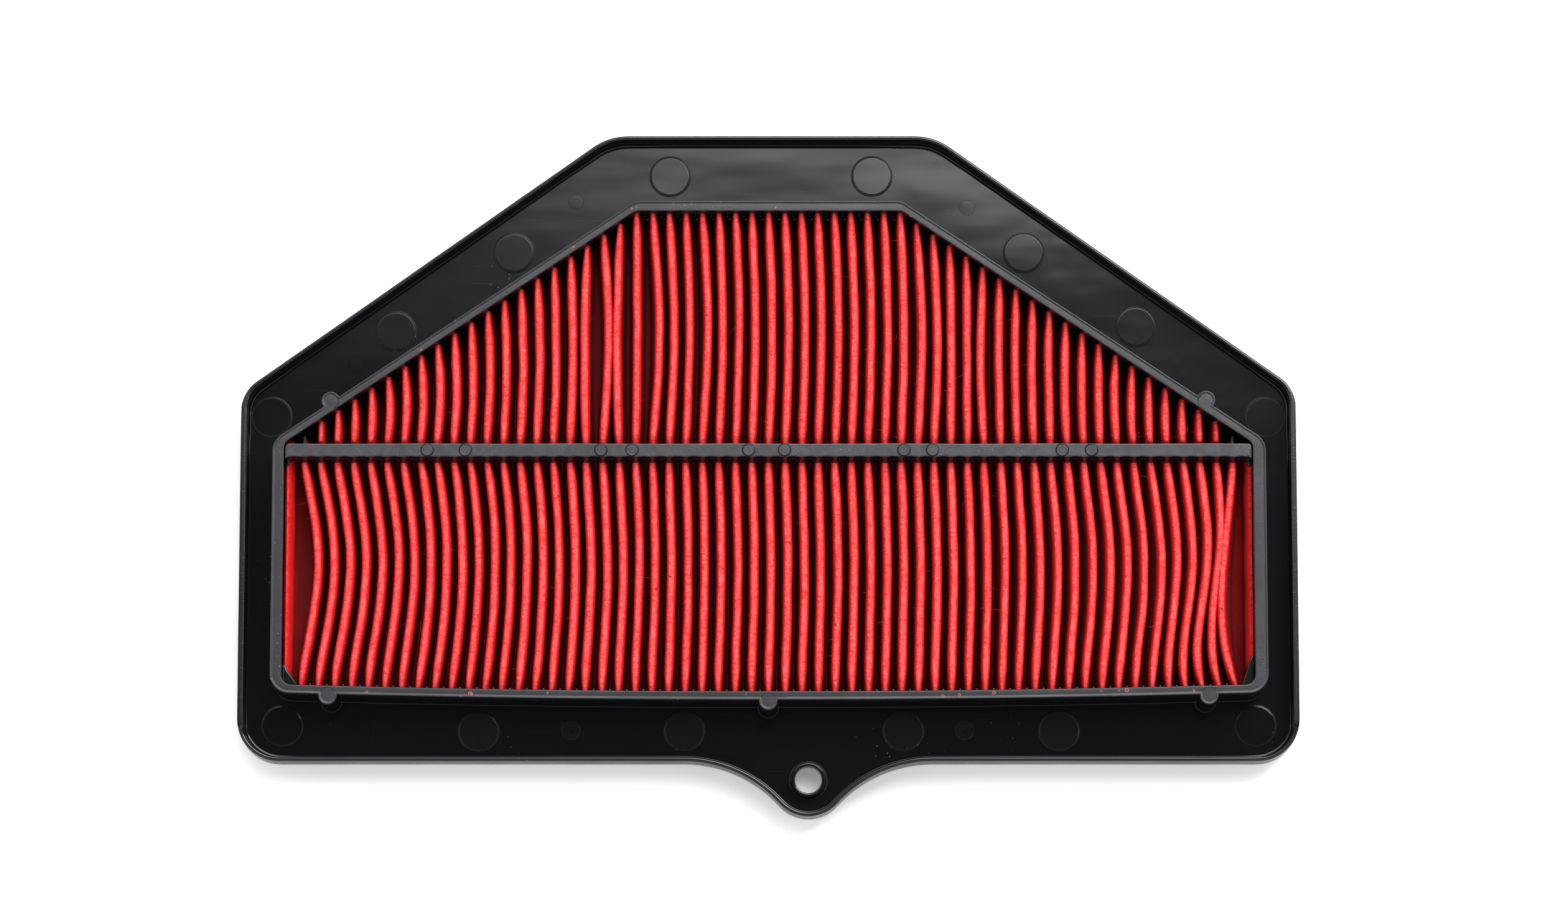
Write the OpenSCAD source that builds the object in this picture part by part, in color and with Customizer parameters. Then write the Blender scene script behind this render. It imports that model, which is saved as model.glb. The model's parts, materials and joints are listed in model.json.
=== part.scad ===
// Panel air filter of a motorcycle airbox: a moulded tray frame with an upstanding rim, a tall wall round
// the opening, a comb bar across it and one folded sheet of filter media inside.
// +Z points to the dirty side, +X is the long way, the screw tab points to -Y. Millimetres.

/* [Frame outline] */
// Width of the frame over its rim
frame_w = 290; // [240:1:350]
// Depth of the frame from the rear edge to the front edge, without the tab
frame_d = 173.5; // [144:0.5:210]
// Width of the straight part of the rear edge
rear_edge_w = 88.4; // [70:0.1:110]
// How far forward of the rear edge the slanted edges meet the sides
slant_drop = 71.9; // [59:0.1:87]
// Corner radius where the rear edge meets the slants
rear_corner_r = 18; // [8:0.5:22]
// Corner radius where the slants meet the sides
shoulder_r = 18; // [8:0.5:22]
// Corner radius at the front
front_corner_r = 12; // [8:0.5:16]

/* [Flange and rim] */
// Height of the flange's underside over the sealing plane, which is the gasket's height
gasket_h = 3; // [2:0.1:5]
// Thickness of the flange
flange_t = 2; // [1.5:0.1:3]
// Height of the rim over the flange
rim_h = 5.9; // [4:0.1:9]
// Thickness of the rim
rim_t = 1.5; // [1.2:0.1:2.5]
// How far the rim reaches below the flange
skirt_h = 1; // [0.5:0.1:1.8]

/* [Opening wall] */
// Gap between the rim's outside and the wall's outside at the two sides
side_margin = 9.4; // [8.5:0.1:14]
// Gap between the front edge and the wall's outside, at the ends of the front wall
front_margin = 16.7; // [12:0.1:24]
// Gap between the rear edge and the wall's outside
rear_margin = 20.2; // [12:0.1:24]
// Width of the straight part of the rear wall
rear_wall_w = 73.2; // [60:0.1:90]
// How far forward of the rear wall the slanted walls meet the side walls
wall_slant_drop = 66.75; // [62:0.05:72]
// How far the middle of the front wall stands out past its ends
front_bow = 1.8; // [0.5:0.1:3]
// Height of the wall over the flange
wall_h = 16; // [13:0.5:22]
// Thickness of the side walls
side_wall_t = 3.4; // [2.8:0.1:4.5]
// Thickness of the front wall and the slanted walls
thin_wall_t = 2.6; // [2:0.1:3.5]
// Thickness of the rear wall
rear_wall_t = 3.1; // [2:0.1:4]
// Outside corner radius of the wall
wall_corner_r = 5.6; // [4:0.1:8]
// Inside corner radius of the wall
wall_inside_r = 2.8; // [1.5:0.1:4]
// Radius of the half-round ejector seats on the wall
seat_r = 2.8; // [2:0.1:4]
// Distance of the outer ejector seats from the middle
seat_x = 119.6; // [60:0.1:121]

/* [Screw tab] */
// Sideways place of the tab
tab_x = 10.9; // [-30:0.1:30]
// How far the tab reaches past the front edge
tab_reach = 15.6; // [12:0.1:20]
// Radius of the tab's nose
tab_nose_r = 10.7; // [9:0.1:14]
// Radius of the hollow curves that lead into the tab
tab_fillet_r = 35.2; // [15:0.1:45]
// Distance of the hole's centre from the tab's tip
hole_inset = 10.4; // [9:0.1:12]
// Diameter of the screw hole
hole_d = 7.3; // [5:0.1:9]
// Thickness of the collar round the hole
collar_t = 1.15; // [0.8:0.05:2]
// Height of the collar over the flange
collar_h = 2.3; // [1:0.1:4]

/* [Filter media] */
// Wanted distance between pleats, which is rounded so that a whole number fills the opening
pleat_spacing = 4.5; // [3.7:0.1:6]
// Room between the first or last pleat and the side wall
end_room = 5.2; // [4:0.1:7]
// Thickness of the sheet, measured level
media_t = 1.13; // [0.9:0.01:1.4]
// Half the width of a fold's flat tip
fold_half = 0.75; // [0.6:0.01:0.9]
// How far the pleats' tips stay below the top of the wall
tip_drop = 3.6; // [2.5:0.1:5]
// How far the turned-up ends of the sheet stay below the pleats' tips
end_drop = 1.1; // [0.5:0.1:4]

/* [Cross bar and combs] */
// Distance of the cross bar's centre line from the shoulders of the opening wall, towards the front
bar_offset = 2.9; // [2.5:0.1:12]
// Width of the cross bar
bar_w = 3.9; // [3:0.1:6]
// Depth of the scallops on the bar's front edge
scallop = 0.45; // [0.2:0.05:0.8]
// Gap between the bar's ends and the walls
bar_end_gap = 0.3; // [0.2:0.05:1]
// Width of the bar's end pegs
peg_w = 2.2; // [1.5:0.1:3]
// Height of the bar's end pegs
peg_h = 2; // [1:0.1:3]
// How far the pegs enter the side walls
peg_reach = 1.2; // [0.8:0.1:1.6]
// Length of the pegs inside the walls, under the bar's ends
peg_root = 1.4; // [1:0.1:3]
// Width of a comb tooth
tooth_w = 0.8; // [0.5:0.05:0.9]
// How deep the teeth reach below the pleats' tips
tooth_h = 6; // [5.5:0.1:7.2]
// How far the edge teeth stay below the pleats' tips
tooth_drop = 0.6; // [0.2:0.1:2]
// Reach of a comb tooth from the edge strips
tooth_reach = 1.4; // [0.8:0.1:2]
// Thickness of the edge strips that carry the teeth
comb_t = 0.8; // [0.6:0.1:1.2]
// How far the edge strips stay below the pleats' tips
comb_drop = 5; // [2:0.1:5]
// Size of the webs in the two front corners, along the front wall
web_w = 4.2; // [2:0.1:6]
// Size of the webs in the two front corners, along the side walls
web_l = 6; // [3:0.1:10]

/* [Ledge, bead and grille] */
// Width of the ledge inside the wall's foot
ledge_w = 3.2; // [2.5:0.1:5]
// Thickness of the ledge
ledge_t = 1.5; // [1:0.1:2]
// Thickness of the adhesive bead on the ledge
bead_t = 1; // [0.5:0.1:1.5]
// Thickness of the grille's outer band
band_t = 1.5; // [1:0.1:2]
// Width of the grille's outer band
band_w = 5; // [4:0.1:8]
// Width of a grille rib
rib_w = 2; // [1.5:0.1:3]
// Number of grille ribs that run front to rear
ribs_y = 9; // [5:2:15]
// Number of grille ribs that run side to side
ribs_x = 2; // [1:1:4]

/* [Gasket] */
// Gap between the rim's outside and the gasket
gasket_inset = 3; // [2.5:0.1:4]
// Width of the gasket
gasket_w = 5; // [3:0.1:5.2]

/* [Hidden] */
$fn = 64;
// Segments in a rounded corner, and in the bowed front wall
corner_steps = 10;
bow_steps = 24;
// Points along one scallop
scallop_steps = 6;
// Overlap of cuts and of features that merge into one moulding
over = 0.5;
// Clearance between separate pieces, and between the sheet's cut edges and the wall
gap = 0.2;
media_gap = 0.1;

// Overall depth with the tab, and the front and rear edges: the box is centred on the origin
whole_d = frame_d + tab_reach;
rear_y = whole_d / 2;
front_y = rear_y - frame_d;

// Heights
flange_top = gasket_h + flange_t;
rim_top = flange_top + rim_h;
rim_foot = gasket_h - skirt_h;
wall_top = flange_top + wall_h;
wall_foot = 1;
ledge_top = wall_foot + band_t + ledge_t;
media_foot = ledge_top + bead_t;
tip_z = wall_top - tip_drop;
end_z = tip_z - end_drop;
bar_foot = tip_z + media_gap;
comb_top = tip_z - comb_drop;

// The wall's outside and inside: half width, front, rear, half of the rear straight, slope and intercept
wall_hw = frame_w / 2 - side_margin;
wall_front = front_y + front_margin;
wall_rear = rear_y - rear_margin;
wall_slope = wall_slant_drop / (wall_hw - rear_wall_w / 2);
wall_intercept = wall_rear + wall_slope * rear_wall_w / 2;
slant_len = sqrt(1 + wall_slope * wall_slope);
shoulder_y = wall_rear - wall_slant_drop;
room_hw = wall_hw - side_wall_t;
room_front = wall_front + thin_wall_t;
room_rear = wall_rear - rear_wall_t;
room_intercept = wall_intercept - thin_wall_t * slant_len;

// The rim's slope and intercept
rim_slope = slant_drop / (frame_w / 2 - rear_edge_w / 2);
rim_intercept = rear_y + rim_slope * rear_edge_w / 2;

// The tab: its hole, and how far its hollow curves start from its middle
hole_y = front_y - tab_reach + hole_inset;
tab_sum_r = tab_nose_r + tab_fillet_r;
tab_half = sqrt(tab_sum_r * tab_sum_r - pow(tab_sum_r - tab_reach, 2));
tab_turn = acos((tab_sum_r - tab_reach) / tab_sum_r);

// The cross bar
bar_y = shoulder_y - bar_offset;

// Pleats from wall to wall, and the vertical thickness of a fold
first_x = -(room_hw - end_room);
pleats = 1 + round(-2 * first_x / pleat_spacing);
pleat_pitch = -2 * first_x / (pleats - 1);
pleat_run = pleat_pitch / 2 - fold_half;
pleat_h = tip_z - media_foot;
fold_h = pleat_h * (media_t - fold_half) / (pleat_run + media_t - fold_half);
end_x = room_hw - gap - media_t / 2;

// Points of an arc of radius r round c, from angle a0 to angle a1
function arc(c, r, a0, a1, steps) =
    [for (i = [0:steps]) let (a = a0 + (a1 - a0) * i / steps) c + r * [cos(a), sin(a)]];

// Unit vector from a to b
function unit(a, b) = (b - a) / norm(b - a);

// Rounded corner of radius r at p, between the neighbours a and b of an anticlockwise outline
function rounded(a, p, b, r) =
    let (u = unit(a, p), v = unit(p, b))
    let (turn = acos(u * v), reach = r * tan(turn / 2))
    let (c = p - u * reach + r * [-u[1], u[0]])
    let (a0 = atan2(-u[0], u[1]))
    turn < 0.01 ? [p] : arc([c[0], c[1]], r, a0, a0 + turn, corner_steps);

// Six corners of a tray outline, from the front left, anticlockwise
function six(hw, front, rear, slope, intercept) = [
    [-hw, front], [hw, front], [hw, intercept - slope * hw],
    [(intercept - rear) / slope, rear], [-(intercept - rear) / slope, rear], [-hw, intercept - slope * hw]];

// Front edge of the rim at inset d, with the tab let into it
function tab_edge(d) = concat(
    arc([tab_x - tab_half, front_y - tab_fillet_r], tab_fillet_r + d, 90, 90 - tab_turn, corner_steps * 2),
    arc([tab_x, front_y - tab_reach + tab_nose_r], tab_nose_r - d, 270 - tab_turn, 270 + tab_turn,
        corner_steps * 2),
    arc([tab_x + tab_half, front_y - tab_fillet_r], tab_fillet_r + d, 90 + tab_turn, 90, corner_steps * 2));

// Outline of the frame at inset d, with or without the tab
function rim_line(d, with_tab) =
    let (p = six(frame_w / 2 - d, front_y + d, rear_y - d, rim_slope,
                 rim_intercept - d * sqrt(1 + rim_slope * rim_slope)))
    concat(
        rounded(p[5], p[0], p[1], front_corner_r - d),
        with_tab ? tab_edge(d) : [],
        rounded(p[0], p[1], p[2], front_corner_r - d),
        rounded(p[1], p[2], p[3], shoulder_r - d),
        rounded(p[2], p[3], p[4], rear_corner_r - d),
        rounded(p[3], p[4], p[5], rear_corner_r - d),
        rounded(p[4], p[5], p[0], shoulder_r - d));

// Outline of the opening wall with corners p and radius r, its front edge bowed outward
function wall_line(p, r) =
    let (h = p[1][0] - r)
    concat(
        rounded(p[5], p[0], p[1], r),
        [for (i = [1:bow_steps - 1]) let (x = h * (2 * i / bow_steps - 1))
            [x, p[0][1] - front_bow * (1 - pow(x / h, 2))]],
        rounded(p[0], p[1], p[2], r),
        rounded(p[1], p[2], p[3], r),
        rounded(p[2], p[3], p[4], r),
        rounded(p[3], p[4], p[5], r),
        rounded(p[4], p[5], p[0], r));

// Inside of the wall at inset d
function room_corners(d) = six(room_hw - d, room_front + d, room_rear - d, wall_slope,
                               room_intercept - d * slant_len);
function room_line(d) = wall_line(room_corners(d), max(wall_inside_r - d, 0.5));

// Rear edge of the room at x, and the bow of its front edge
function room_rear_at(x) = min(room_rear, room_intercept - wall_slope * abs(x));
function room_front_at(x) = room_front - front_bow * (1 - pow(x / (room_hw - wall_inside_r), 2));

// The middle of each gap between two pleats
gap_xs = [for (i = [0:pleats - 2]) first_x + (i + 0.5) * pleat_pitch];

// A slab with the given outline between two heights
module slab(points, z0, z1) {
    translate([0, 0, z0])
        linear_extrude(z1 - z0)
            polygon(points);
}

// A ring between two outlines
module ring(outer, inner, z0, z1) {
    difference() {
        slab(outer, z0, z1);
        slab(inner, z0 - over, z1 + over);
    }
}

module ejector_seats() {
    for (x = [-seat_x, seat_x])
        translate([x, wall_intercept - wall_slope * abs(x), gasket_h])
            cylinder(r = seat_r, h = wall_top - gasket_h);
    for (x = [-seat_x, 0, seat_x])
        translate([x, wall_front - front_bow * (1 - pow(x / wall_hw, 2)), gasket_h])
            cylinder(r = seat_r, h = wall_top - gasket_h);
}

module flange_frame() {
    color([0.10, 0.10, 0.11])
        difference() {
            union() {
                slab(rim_line(0, true), gasket_h, flange_top);
                ring(rim_line(0, true), rim_line(rim_t, true), rim_foot, rim_top);
                slab(wall_line(six(wall_hw, wall_front, wall_rear, wall_slope, wall_intercept),
                               wall_corner_r), wall_foot, wall_top);
                ejector_seats();
                translate([tab_x, hole_y, gasket_h])
                    cylinder(d = hole_d + 2 * collar_t, h = flange_t + collar_h);
            }
            slab(room_line(0), ledge_top, wall_top + over);
            slab(room_line(ledge_w), 0, wall_top);
            slab(room_line(0), 0, wall_foot + band_t);
            translate([tab_x, hole_y, 0])
                cylinder(d = hole_d, h = wall_top);
            for (side = [-1, 1])
                translate([side * room_hw, bar_y, bar_foot - (peg_h - gap) / 2])
                    cube([2 * (peg_reach + gap), peg_w + 2 * gap, peg_h + gap], center = true);
        }
}

// Plan of the bar, longer than the room, its front edge scalloped under each pleat
function bar_plan() = concat(
    [[wall_hw, bar_y + bar_w / 2], [-wall_hw, bar_y + bar_w / 2], [-wall_hw, bar_y - bar_w / 2]],
    [for (i = [0:(pleats - 1) * scallop_steps])
        let (x = first_x + i * pleat_pitch / scallop_steps)
        [x, bar_y - bar_w / 2 - scallop * (1 + cos(360 * i / scallop_steps)) / 2]],
    [[wall_hw, bar_y - bar_w / 2]]);

module cross_bar() {
    color([0.30, 0.30, 0.31]) {
        intersection() {
            slab(bar_plan(), bar_foot, wall_top);
            slab(room_line(bar_end_gap), bar_foot - over, wall_top + over);
        }
        for (x = gap_xs)
            translate([x - tooth_w / 2, bar_y - bar_w / 2, tip_z - tooth_h])
                cube([tooth_w, bar_w, tooth_h + over]);
        for (side = [-1, 1]) {
            translate([side * (room_hw + (peg_reach - peg_root) / 2), bar_y, bar_foot - peg_h / 2])
                cube([peg_reach + peg_root, peg_w, peg_h], center = true);
            translate([side * (room_hw - bar_end_gap - peg_root / 2), bar_y, bar_foot - peg_h / 2 + over])
                cube([peg_root, peg_w, peg_h], center = true);
        }
    }
}

// Section of the folded sheet: its upper side from left to right, then its lower side back
upper_side = concat(
    [[-end_x - media_t / 2, end_z], [-end_x + media_t / 2, end_z]],
    [for (i = [0:pleats - 1]) let (x = first_x + i * pleat_pitch)
        each [[x - pleat_pitch / 2, media_foot + fold_h], [x - fold_half, tip_z], [x + fold_half, tip_z]]],
    [[-first_x + pleat_pitch / 2, media_foot + fold_h], [end_x - media_t / 2, end_z],
     [end_x + media_t / 2, end_z]]);
lower_side = concat(
    [[end_x + media_t / 2, media_foot], [-first_x + pleat_pitch / 2 - fold_half, media_foot]],
    [for (i = [pleats - 1:-1:0]) let (x = first_x + i * pleat_pitch)
        each [[x, tip_z - fold_h], [x - pleat_pitch / 2 + fold_half, media_foot],
              [x - pleat_pitch / 2 - fold_half, media_foot]]],
    [[-end_x - media_t / 2, media_foot]]);

module pleated_media() {
    color([0.90, 0.16, 0.14])
        difference() {
            intersection() {
                translate([0, rear_y, 0])
                    rotate([90, 0, 0])
                        linear_extrude(whole_d)
                            polygon(concat(upper_side, lower_side));
                slab(room_line(media_gap), media_foot, wall_top);
            }
            comb_bands(comb_t + gap, gap);
            for (side = [-1, 1])
                translate([side * room_hw, bar_y, bar_foot])
                    cube([2 * (peg_root + gap), bar_w + 4 * gap, 2 * (peg_h + gap)], center = true);
            corner_webs(gap);
        }
}

// Triangular webs in the two front corners, grown by a clearance where the sheet is cut round them
module corner_webs(grow) {
    for (side = [-1, 1])
        slab([[side * (room_hw + grow), room_front - front_bow],
              [side * (room_hw + grow), room_front + web_l + 2 * grow],
              [side * (room_hw - web_w - 2 * grow), room_front - front_bow]],
             media_foot - grow, tip_z + grow);
}

// Bands of the given thickness inside the wall, front and rear, grown by a clearance
module comb_bands(thickness, grow) {
    half = room_hw - media_t - 2 * gap + grow;
    intersection() {
        ring(room_line(-over), room_line(thickness), media_foot - over, comb_top + grow);
        union() {
            translate([-half, front_y, 0])
                cube([2 * half, room_front + wall_inside_r + grow - front_y, wall_top]);
            translate([-half, bar_y + bar_w - grow, 0])
                cube([2 * half, rear_y, wall_top]);
        }
    }
}

// What lies inside the wall between the bead and the pleats' tips, on one side of the bar
module inside_room(front) {
    intersection() {
        slab(room_line(0), media_foot, tip_z);
        translate([-room_hw, front ? front_y : bar_y, 0])
            cube([2 * room_hw, front ? bar_y - front_y : rear_y, wall_top]);
        children();
    }
}

module front_comb() {
    color([0.12, 0.12, 0.13])
        inside_room(true) {
            union() {
                comb_bands(comb_t, 0);
                corner_webs(0);
                for (x = gap_xs)
                    translate([x - tooth_w / 2, room_front_at(x) + gap / 2, tip_z - tooth_h])
                        cube([tooth_w, comb_t + tooth_reach, tooth_h - tooth_drop]);
            }
        }
}

module rear_comb() {
    color([0.12, 0.12, 0.13])
        inside_room(false) {
            union() {
                comb_bands(comb_t, 0);
                for (x = gap_xs)
                    translate([x - tooth_w / 2, room_rear_at(x) - comb_t - tooth_reach, tip_z - tooth_h])
                        cube([tooth_w, comb_t + tooth_reach - gap / 2, tooth_h - tooth_drop]);
            }
        }
}

module adhesive_bead() {
    color([0.80, 0.70, 0.45])
        ring(room_line(0), room_line(ledge_w), ledge_top, media_foot);
}

module support_grille() {
    rib_top = media_foot - gap;
    color([0.16, 0.16, 0.17])
        union() {
            ring(room_line(gap), room_line(band_w), wall_foot, wall_foot + band_t);
            intersection() {
                slab(room_line(ledge_w + gap), wall_foot, rib_top);
                union() {
                    for (i = [1:ribs_y])
                        translate([(i / (ribs_y + 1) * 2 - 1) * room_hw - rib_w / 2, front_y, wall_foot])
                            cube([rib_w, frame_d, rib_top - wall_foot]);
                    for (i = [1:ribs_x])
                        translate([-room_hw, room_front + (bar_y - room_front) * i / ribs_x - rib_w / 2,
                                   wall_foot])
                            cube([2 * room_hw, rib_w, rib_top - wall_foot]);
                }
            }
        }
}

module sealing_gasket() {
    color([0.20, 0.20, 0.20])
        ring(rim_line(gasket_inset, false), rim_line(gasket_inset + gasket_w, false), 0, gasket_h);
}

flange_frame();
cross_bar();
pleated_media();
front_comb();
rear_comb();
adhesive_bead();
support_grille();
sealing_gasket();
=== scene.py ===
import json
import math
import random

import bpy
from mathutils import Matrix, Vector, noise
from mathutils.geometry import tessellate_polygon

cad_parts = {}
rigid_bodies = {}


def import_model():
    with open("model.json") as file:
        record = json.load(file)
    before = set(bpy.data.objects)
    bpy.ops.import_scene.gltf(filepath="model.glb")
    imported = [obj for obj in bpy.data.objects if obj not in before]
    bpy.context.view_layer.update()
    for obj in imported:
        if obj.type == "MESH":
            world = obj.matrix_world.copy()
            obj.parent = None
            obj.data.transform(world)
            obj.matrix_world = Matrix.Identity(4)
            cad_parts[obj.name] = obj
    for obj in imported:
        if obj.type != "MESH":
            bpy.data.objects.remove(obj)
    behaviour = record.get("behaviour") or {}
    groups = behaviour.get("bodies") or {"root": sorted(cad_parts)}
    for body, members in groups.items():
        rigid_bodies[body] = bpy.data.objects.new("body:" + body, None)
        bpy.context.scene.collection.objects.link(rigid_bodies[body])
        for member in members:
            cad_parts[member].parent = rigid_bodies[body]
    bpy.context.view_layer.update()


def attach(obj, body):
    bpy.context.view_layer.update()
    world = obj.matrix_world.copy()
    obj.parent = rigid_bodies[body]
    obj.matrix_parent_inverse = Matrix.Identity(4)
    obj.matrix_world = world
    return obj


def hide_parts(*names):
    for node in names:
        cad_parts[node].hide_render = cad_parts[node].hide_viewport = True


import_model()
mm = 0.001


def mix(a, b, t):
    return a + (b - a) * t


def smooth(a, b, x):
    t = min(max((x - a) / (b - a), 0), 1)
    return t * t * (3 - 2 * t)


studio = {
    "target": (4.26, 3.47, 10.0),  # mm
    "distance": 1720,
    "tilt": 9.0,  # degrees from straight above, towards the tab
    "lens": 143.8,
    "softboxLight": 6.4,
    "overheadLight": 0.06,
    "roomLight": 1.25,
    "horizon": (0.34, 0.22),  # where the pale surroundings fade in, by height of the direction
    "floorHalf": 4.0,  # m
    "floorColour": 0.86,
    "floorGlow": 0.17,
}
softbox = {  # its edges, as steps aside or along for one step up; each pair is a soft edge
    "near": (0.1985, 0.2125),
    "far": (2.0, 1.7),
    "left": (-0.30, 0.26),
    "right": (2.2, 1.8),
    "wingStart": 0.14,  # beyond this the near edge draws back
    "wingSlope": -0.55,
    "spill": (0.165, 0.200),
    "spillLight": 0.40,
    "shadedLeft": (-0.018, -0.048),  # the dimmer corner
    "shadedAlong": (0.25, 0.215),
    "shade": -0.62,
}


def makeCamera():
    data = bpy.data.cameras.new("camera")
    data.lens, data.sensor_width = studio["lens"], 36
    data.clip_start, data.clip_end = 0.05, 30
    camera = bpy.data.objects.new("camera", data)
    bpy.context.scene.collection.objects.link(camera)
    tilt = math.radians(studio["tilt"])
    target = Vector(studio["target"]) * mm
    back = Vector((0, -math.sin(tilt), math.cos(tilt)))
    camera.location = target + back * studio["distance"] * mm
    camera.rotation_euler = (tilt, 0, 0)
    bpy.context.scene.camera = camera


class Tree:  # short hand for wiring shader nodes
    def __init__(self, tree, clear=True):
        self.nodes, self.links = tree.nodes, tree.links
        if clear:
            self.nodes.clear()

    def add(self, kind, **values):
        node = self.nodes.new(kind)
        for name, value in values.items():
            setattr(node, name, value)
        return node

    def put(self, socket, value):
        if isinstance(value, bpy.types.NodeSocket):
            self.links.new(value, socket)
        else:
            socket.default_value = value

    def math(self, operation, a, b=0.0, c=0.0):
        node = self.add("ShaderNodeMath", operation=operation)
        for socket, value in zip(node.inputs, (a, b, c)):
            self.put(socket, value)
        return node.outputs[0]

    def span(self, value, low, high, outLow=0.0, outHigh=1.0):  # smooth ramp from low to high
        node = self.add("ShaderNodeMapRange", interpolation_type="SMOOTHSTEP")
        for socket, item in zip(node.inputs, (value, low, high, outLow, outHigh)):
            self.put(socket, item)
        return node.outputs[0]

    def blend(self, factor, a, b):
        node = self.add("ShaderNodeMix", data_type="RGBA")
        for socket, value in zip((node.inputs[0], node.inputs[6], node.inputs[7]), (factor, a, b)):
            self.put(socket, value)
        return node.outputs[2]


def makeWorld():
    world = bpy.data.worlds.new("studio")
    bpy.context.scene.world = world
    world.use_nodes = True
    t = Tree(world.node_tree)
    split = t.add("ShaderNodeSeparateXYZ")
    t.links.new(t.add("ShaderNodeTexCoord").outputs["Generated"], split.inputs[0])
    up = t.math("MAXIMUM", split.outputs[2], 0.02)
    across, along = (t.math("DIVIDE", split.outputs[i], up) for i in (0, 1))
    wing = t.math("MAXIMUM", t.math("SUBTRACT", t.math("ABSOLUTE", across), softbox["wingStart"]), 0.0)
    edge = t.math("MULTIPLY_ADD", wing, softbox["wingSlope"], along)
    edge = t.math("ADD", edge, t.span(across, 0.005, 0.045, 0.0, 0.005))  # a little askew on the right
    box = t.math("MULTIPLY", t.span(edge, *softbox["near"]), t.span(along, *softbox["far"]))
    sides = t.math("MULTIPLY", t.span(across, *softbox["left"]), t.span(across, *softbox["right"]))
    box = t.math("MULTIPLY", box, sides)
    shadedLeft, shadedAlong = t.span(across, *softbox["shadedLeft"]), t.span(along, *softbox["shadedAlong"])
    corner = t.math("MULTIPLY", shadedLeft, shadedAlong)
    box = t.math("MULTIPLY", box, t.math("MULTIPLY_ADD", corner, softbox["shade"], 1.0))
    spill = t.math("MULTIPLY", t.span(edge, *softbox["spill"]), softbox["spillLight"])
    away = t.math("SQRT", t.math("ADD", t.math("MULTIPLY", across, across), t.math("MULTIPLY", along, along)))
    room = t.span(away, 0.2, 1.0, studio["overheadLight"], studio["roomLight"])
    level = t.math("ADD", t.math("MULTIPLY_ADD", box, studio["softboxLight"], room), spill)
    low = t.span(split.outputs[2], *studio["horizon"])
    rays = t.add("ShaderNodeLightPath")
    mirrored = t.math("MAXIMUM", rays.outputs["Is Glossy Ray"], rays.outputs["Is Transmission Ray"])
    seen = t.math("MAXIMUM", rays.outputs["Is Camera Ray"], t.math("MULTIPLY", mirrored, low))
    light = t.add("ShaderNodeBackground")
    t.put(light.inputs["Color"], (0.985, 0.99, 1.0, 1))
    t.put(light.inputs["Strength"], level)
    white = t.add("ShaderNodeBackground")
    t.put(white.inputs["Color"], (1, 1, 1, 1))
    t.put(white.inputs["Strength"], 1.0)
    both = t.add("ShaderNodeMixShader")
    for socket, value in zip(both.inputs, (seen, light.outputs[0], white.outputs[0])):
        t.put(socket, value)
    t.links.new(both.outputs[0], t.add("ShaderNodeOutputWorld").inputs["Surface"])


def makeFloor():
    mesh = bpy.data.meshes.new("floor")
    r = studio["floorHalf"]
    mesh.from_pydata([(-r, -r, 0), (r, -r, 0), (r, r, 0), (-r, r, 0)], [], [(0, 1, 2, 3)])
    floor = bpy.data.objects.new("floor", mesh)
    bpy.context.scene.collection.objects.link(floor)
    floor.location.z = -0.0002
    material = bpy.data.materials.new("paleTable")
    material.use_nodes = True
    t = Tree(material.node_tree)
    rays = t.add("ShaderNodeLightPath")
    shown = t.math("MAXIMUM", rays.outputs["Is Camera Ray"], rays.outputs["Is Glossy Ray"])
    shown = t.math("MAXIMUM", shown, rays.outputs["Is Transmission Ray"])
    diffuse = t.add("ShaderNodeBsdfDiffuse")
    c = studio["floorColour"]
    t.put(diffuse.inputs["Color"], t.blend(shown, (c, c, c, 1), (1.0, 1.0, 1.0, 1)))
    glow = t.add("ShaderNodeEmission")
    t.put(glow.inputs["Strength"], t.math("MULTIPLY", shown, studio["floorGlow"]))
    total = t.add("ShaderNodeAddShader")
    t.links.new(diffuse.outputs[0], total.inputs[0])
    t.links.new(glow.outputs[0], total.inputs[1])
    t.links.new(total.outputs[0], t.add("ShaderNodeOutputMaterial").inputs["Surface"])
    mesh.materials.append(material)


makeCamera()
makeWorld()
makeFloor()
bpy.context.scene.view_settings.view_transform = "Standard"
print("camera, studio light and floor are in place")


def newGroup(name, inputs, outputs):
    tree = bpy.data.node_groups.new(name, "ShaderNodeTree")
    for item, value in inputs.items():
        socket = tree.interface.new_socket(item, in_out="INPUT", socket_type="NodeSocketFloat")
        socket.default_value = value
    for item in outputs:
        tree.interface.new_socket(item, in_out="OUTPUT", socket_type="NodeSocketFloat")
    t = Tree(tree, clear=False)
    return tree, t, t.add("NodeGroupInput"), t.add("NodeGroupOutput")


def noiseAt(t, place, scale, detail=2.0, rough=0.5, stretch=None):
    if stretch:
        mapping = t.add("ShaderNodeMapping")
        t.links.new(place, mapping.inputs["Vector"])
        mapping.inputs["Scale"].default_value = stretch
        place = mapping.outputs[0]
    node = t.add("ShaderNodeTexNoise")
    t.links.new(place, node.inputs["Vector"])
    for name, value in (("Scale", scale), ("Detail", detail), ("Roughness", rough)):
        t.put(node.inputs[name], value)
    return node.outputs["Fac"]


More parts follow.
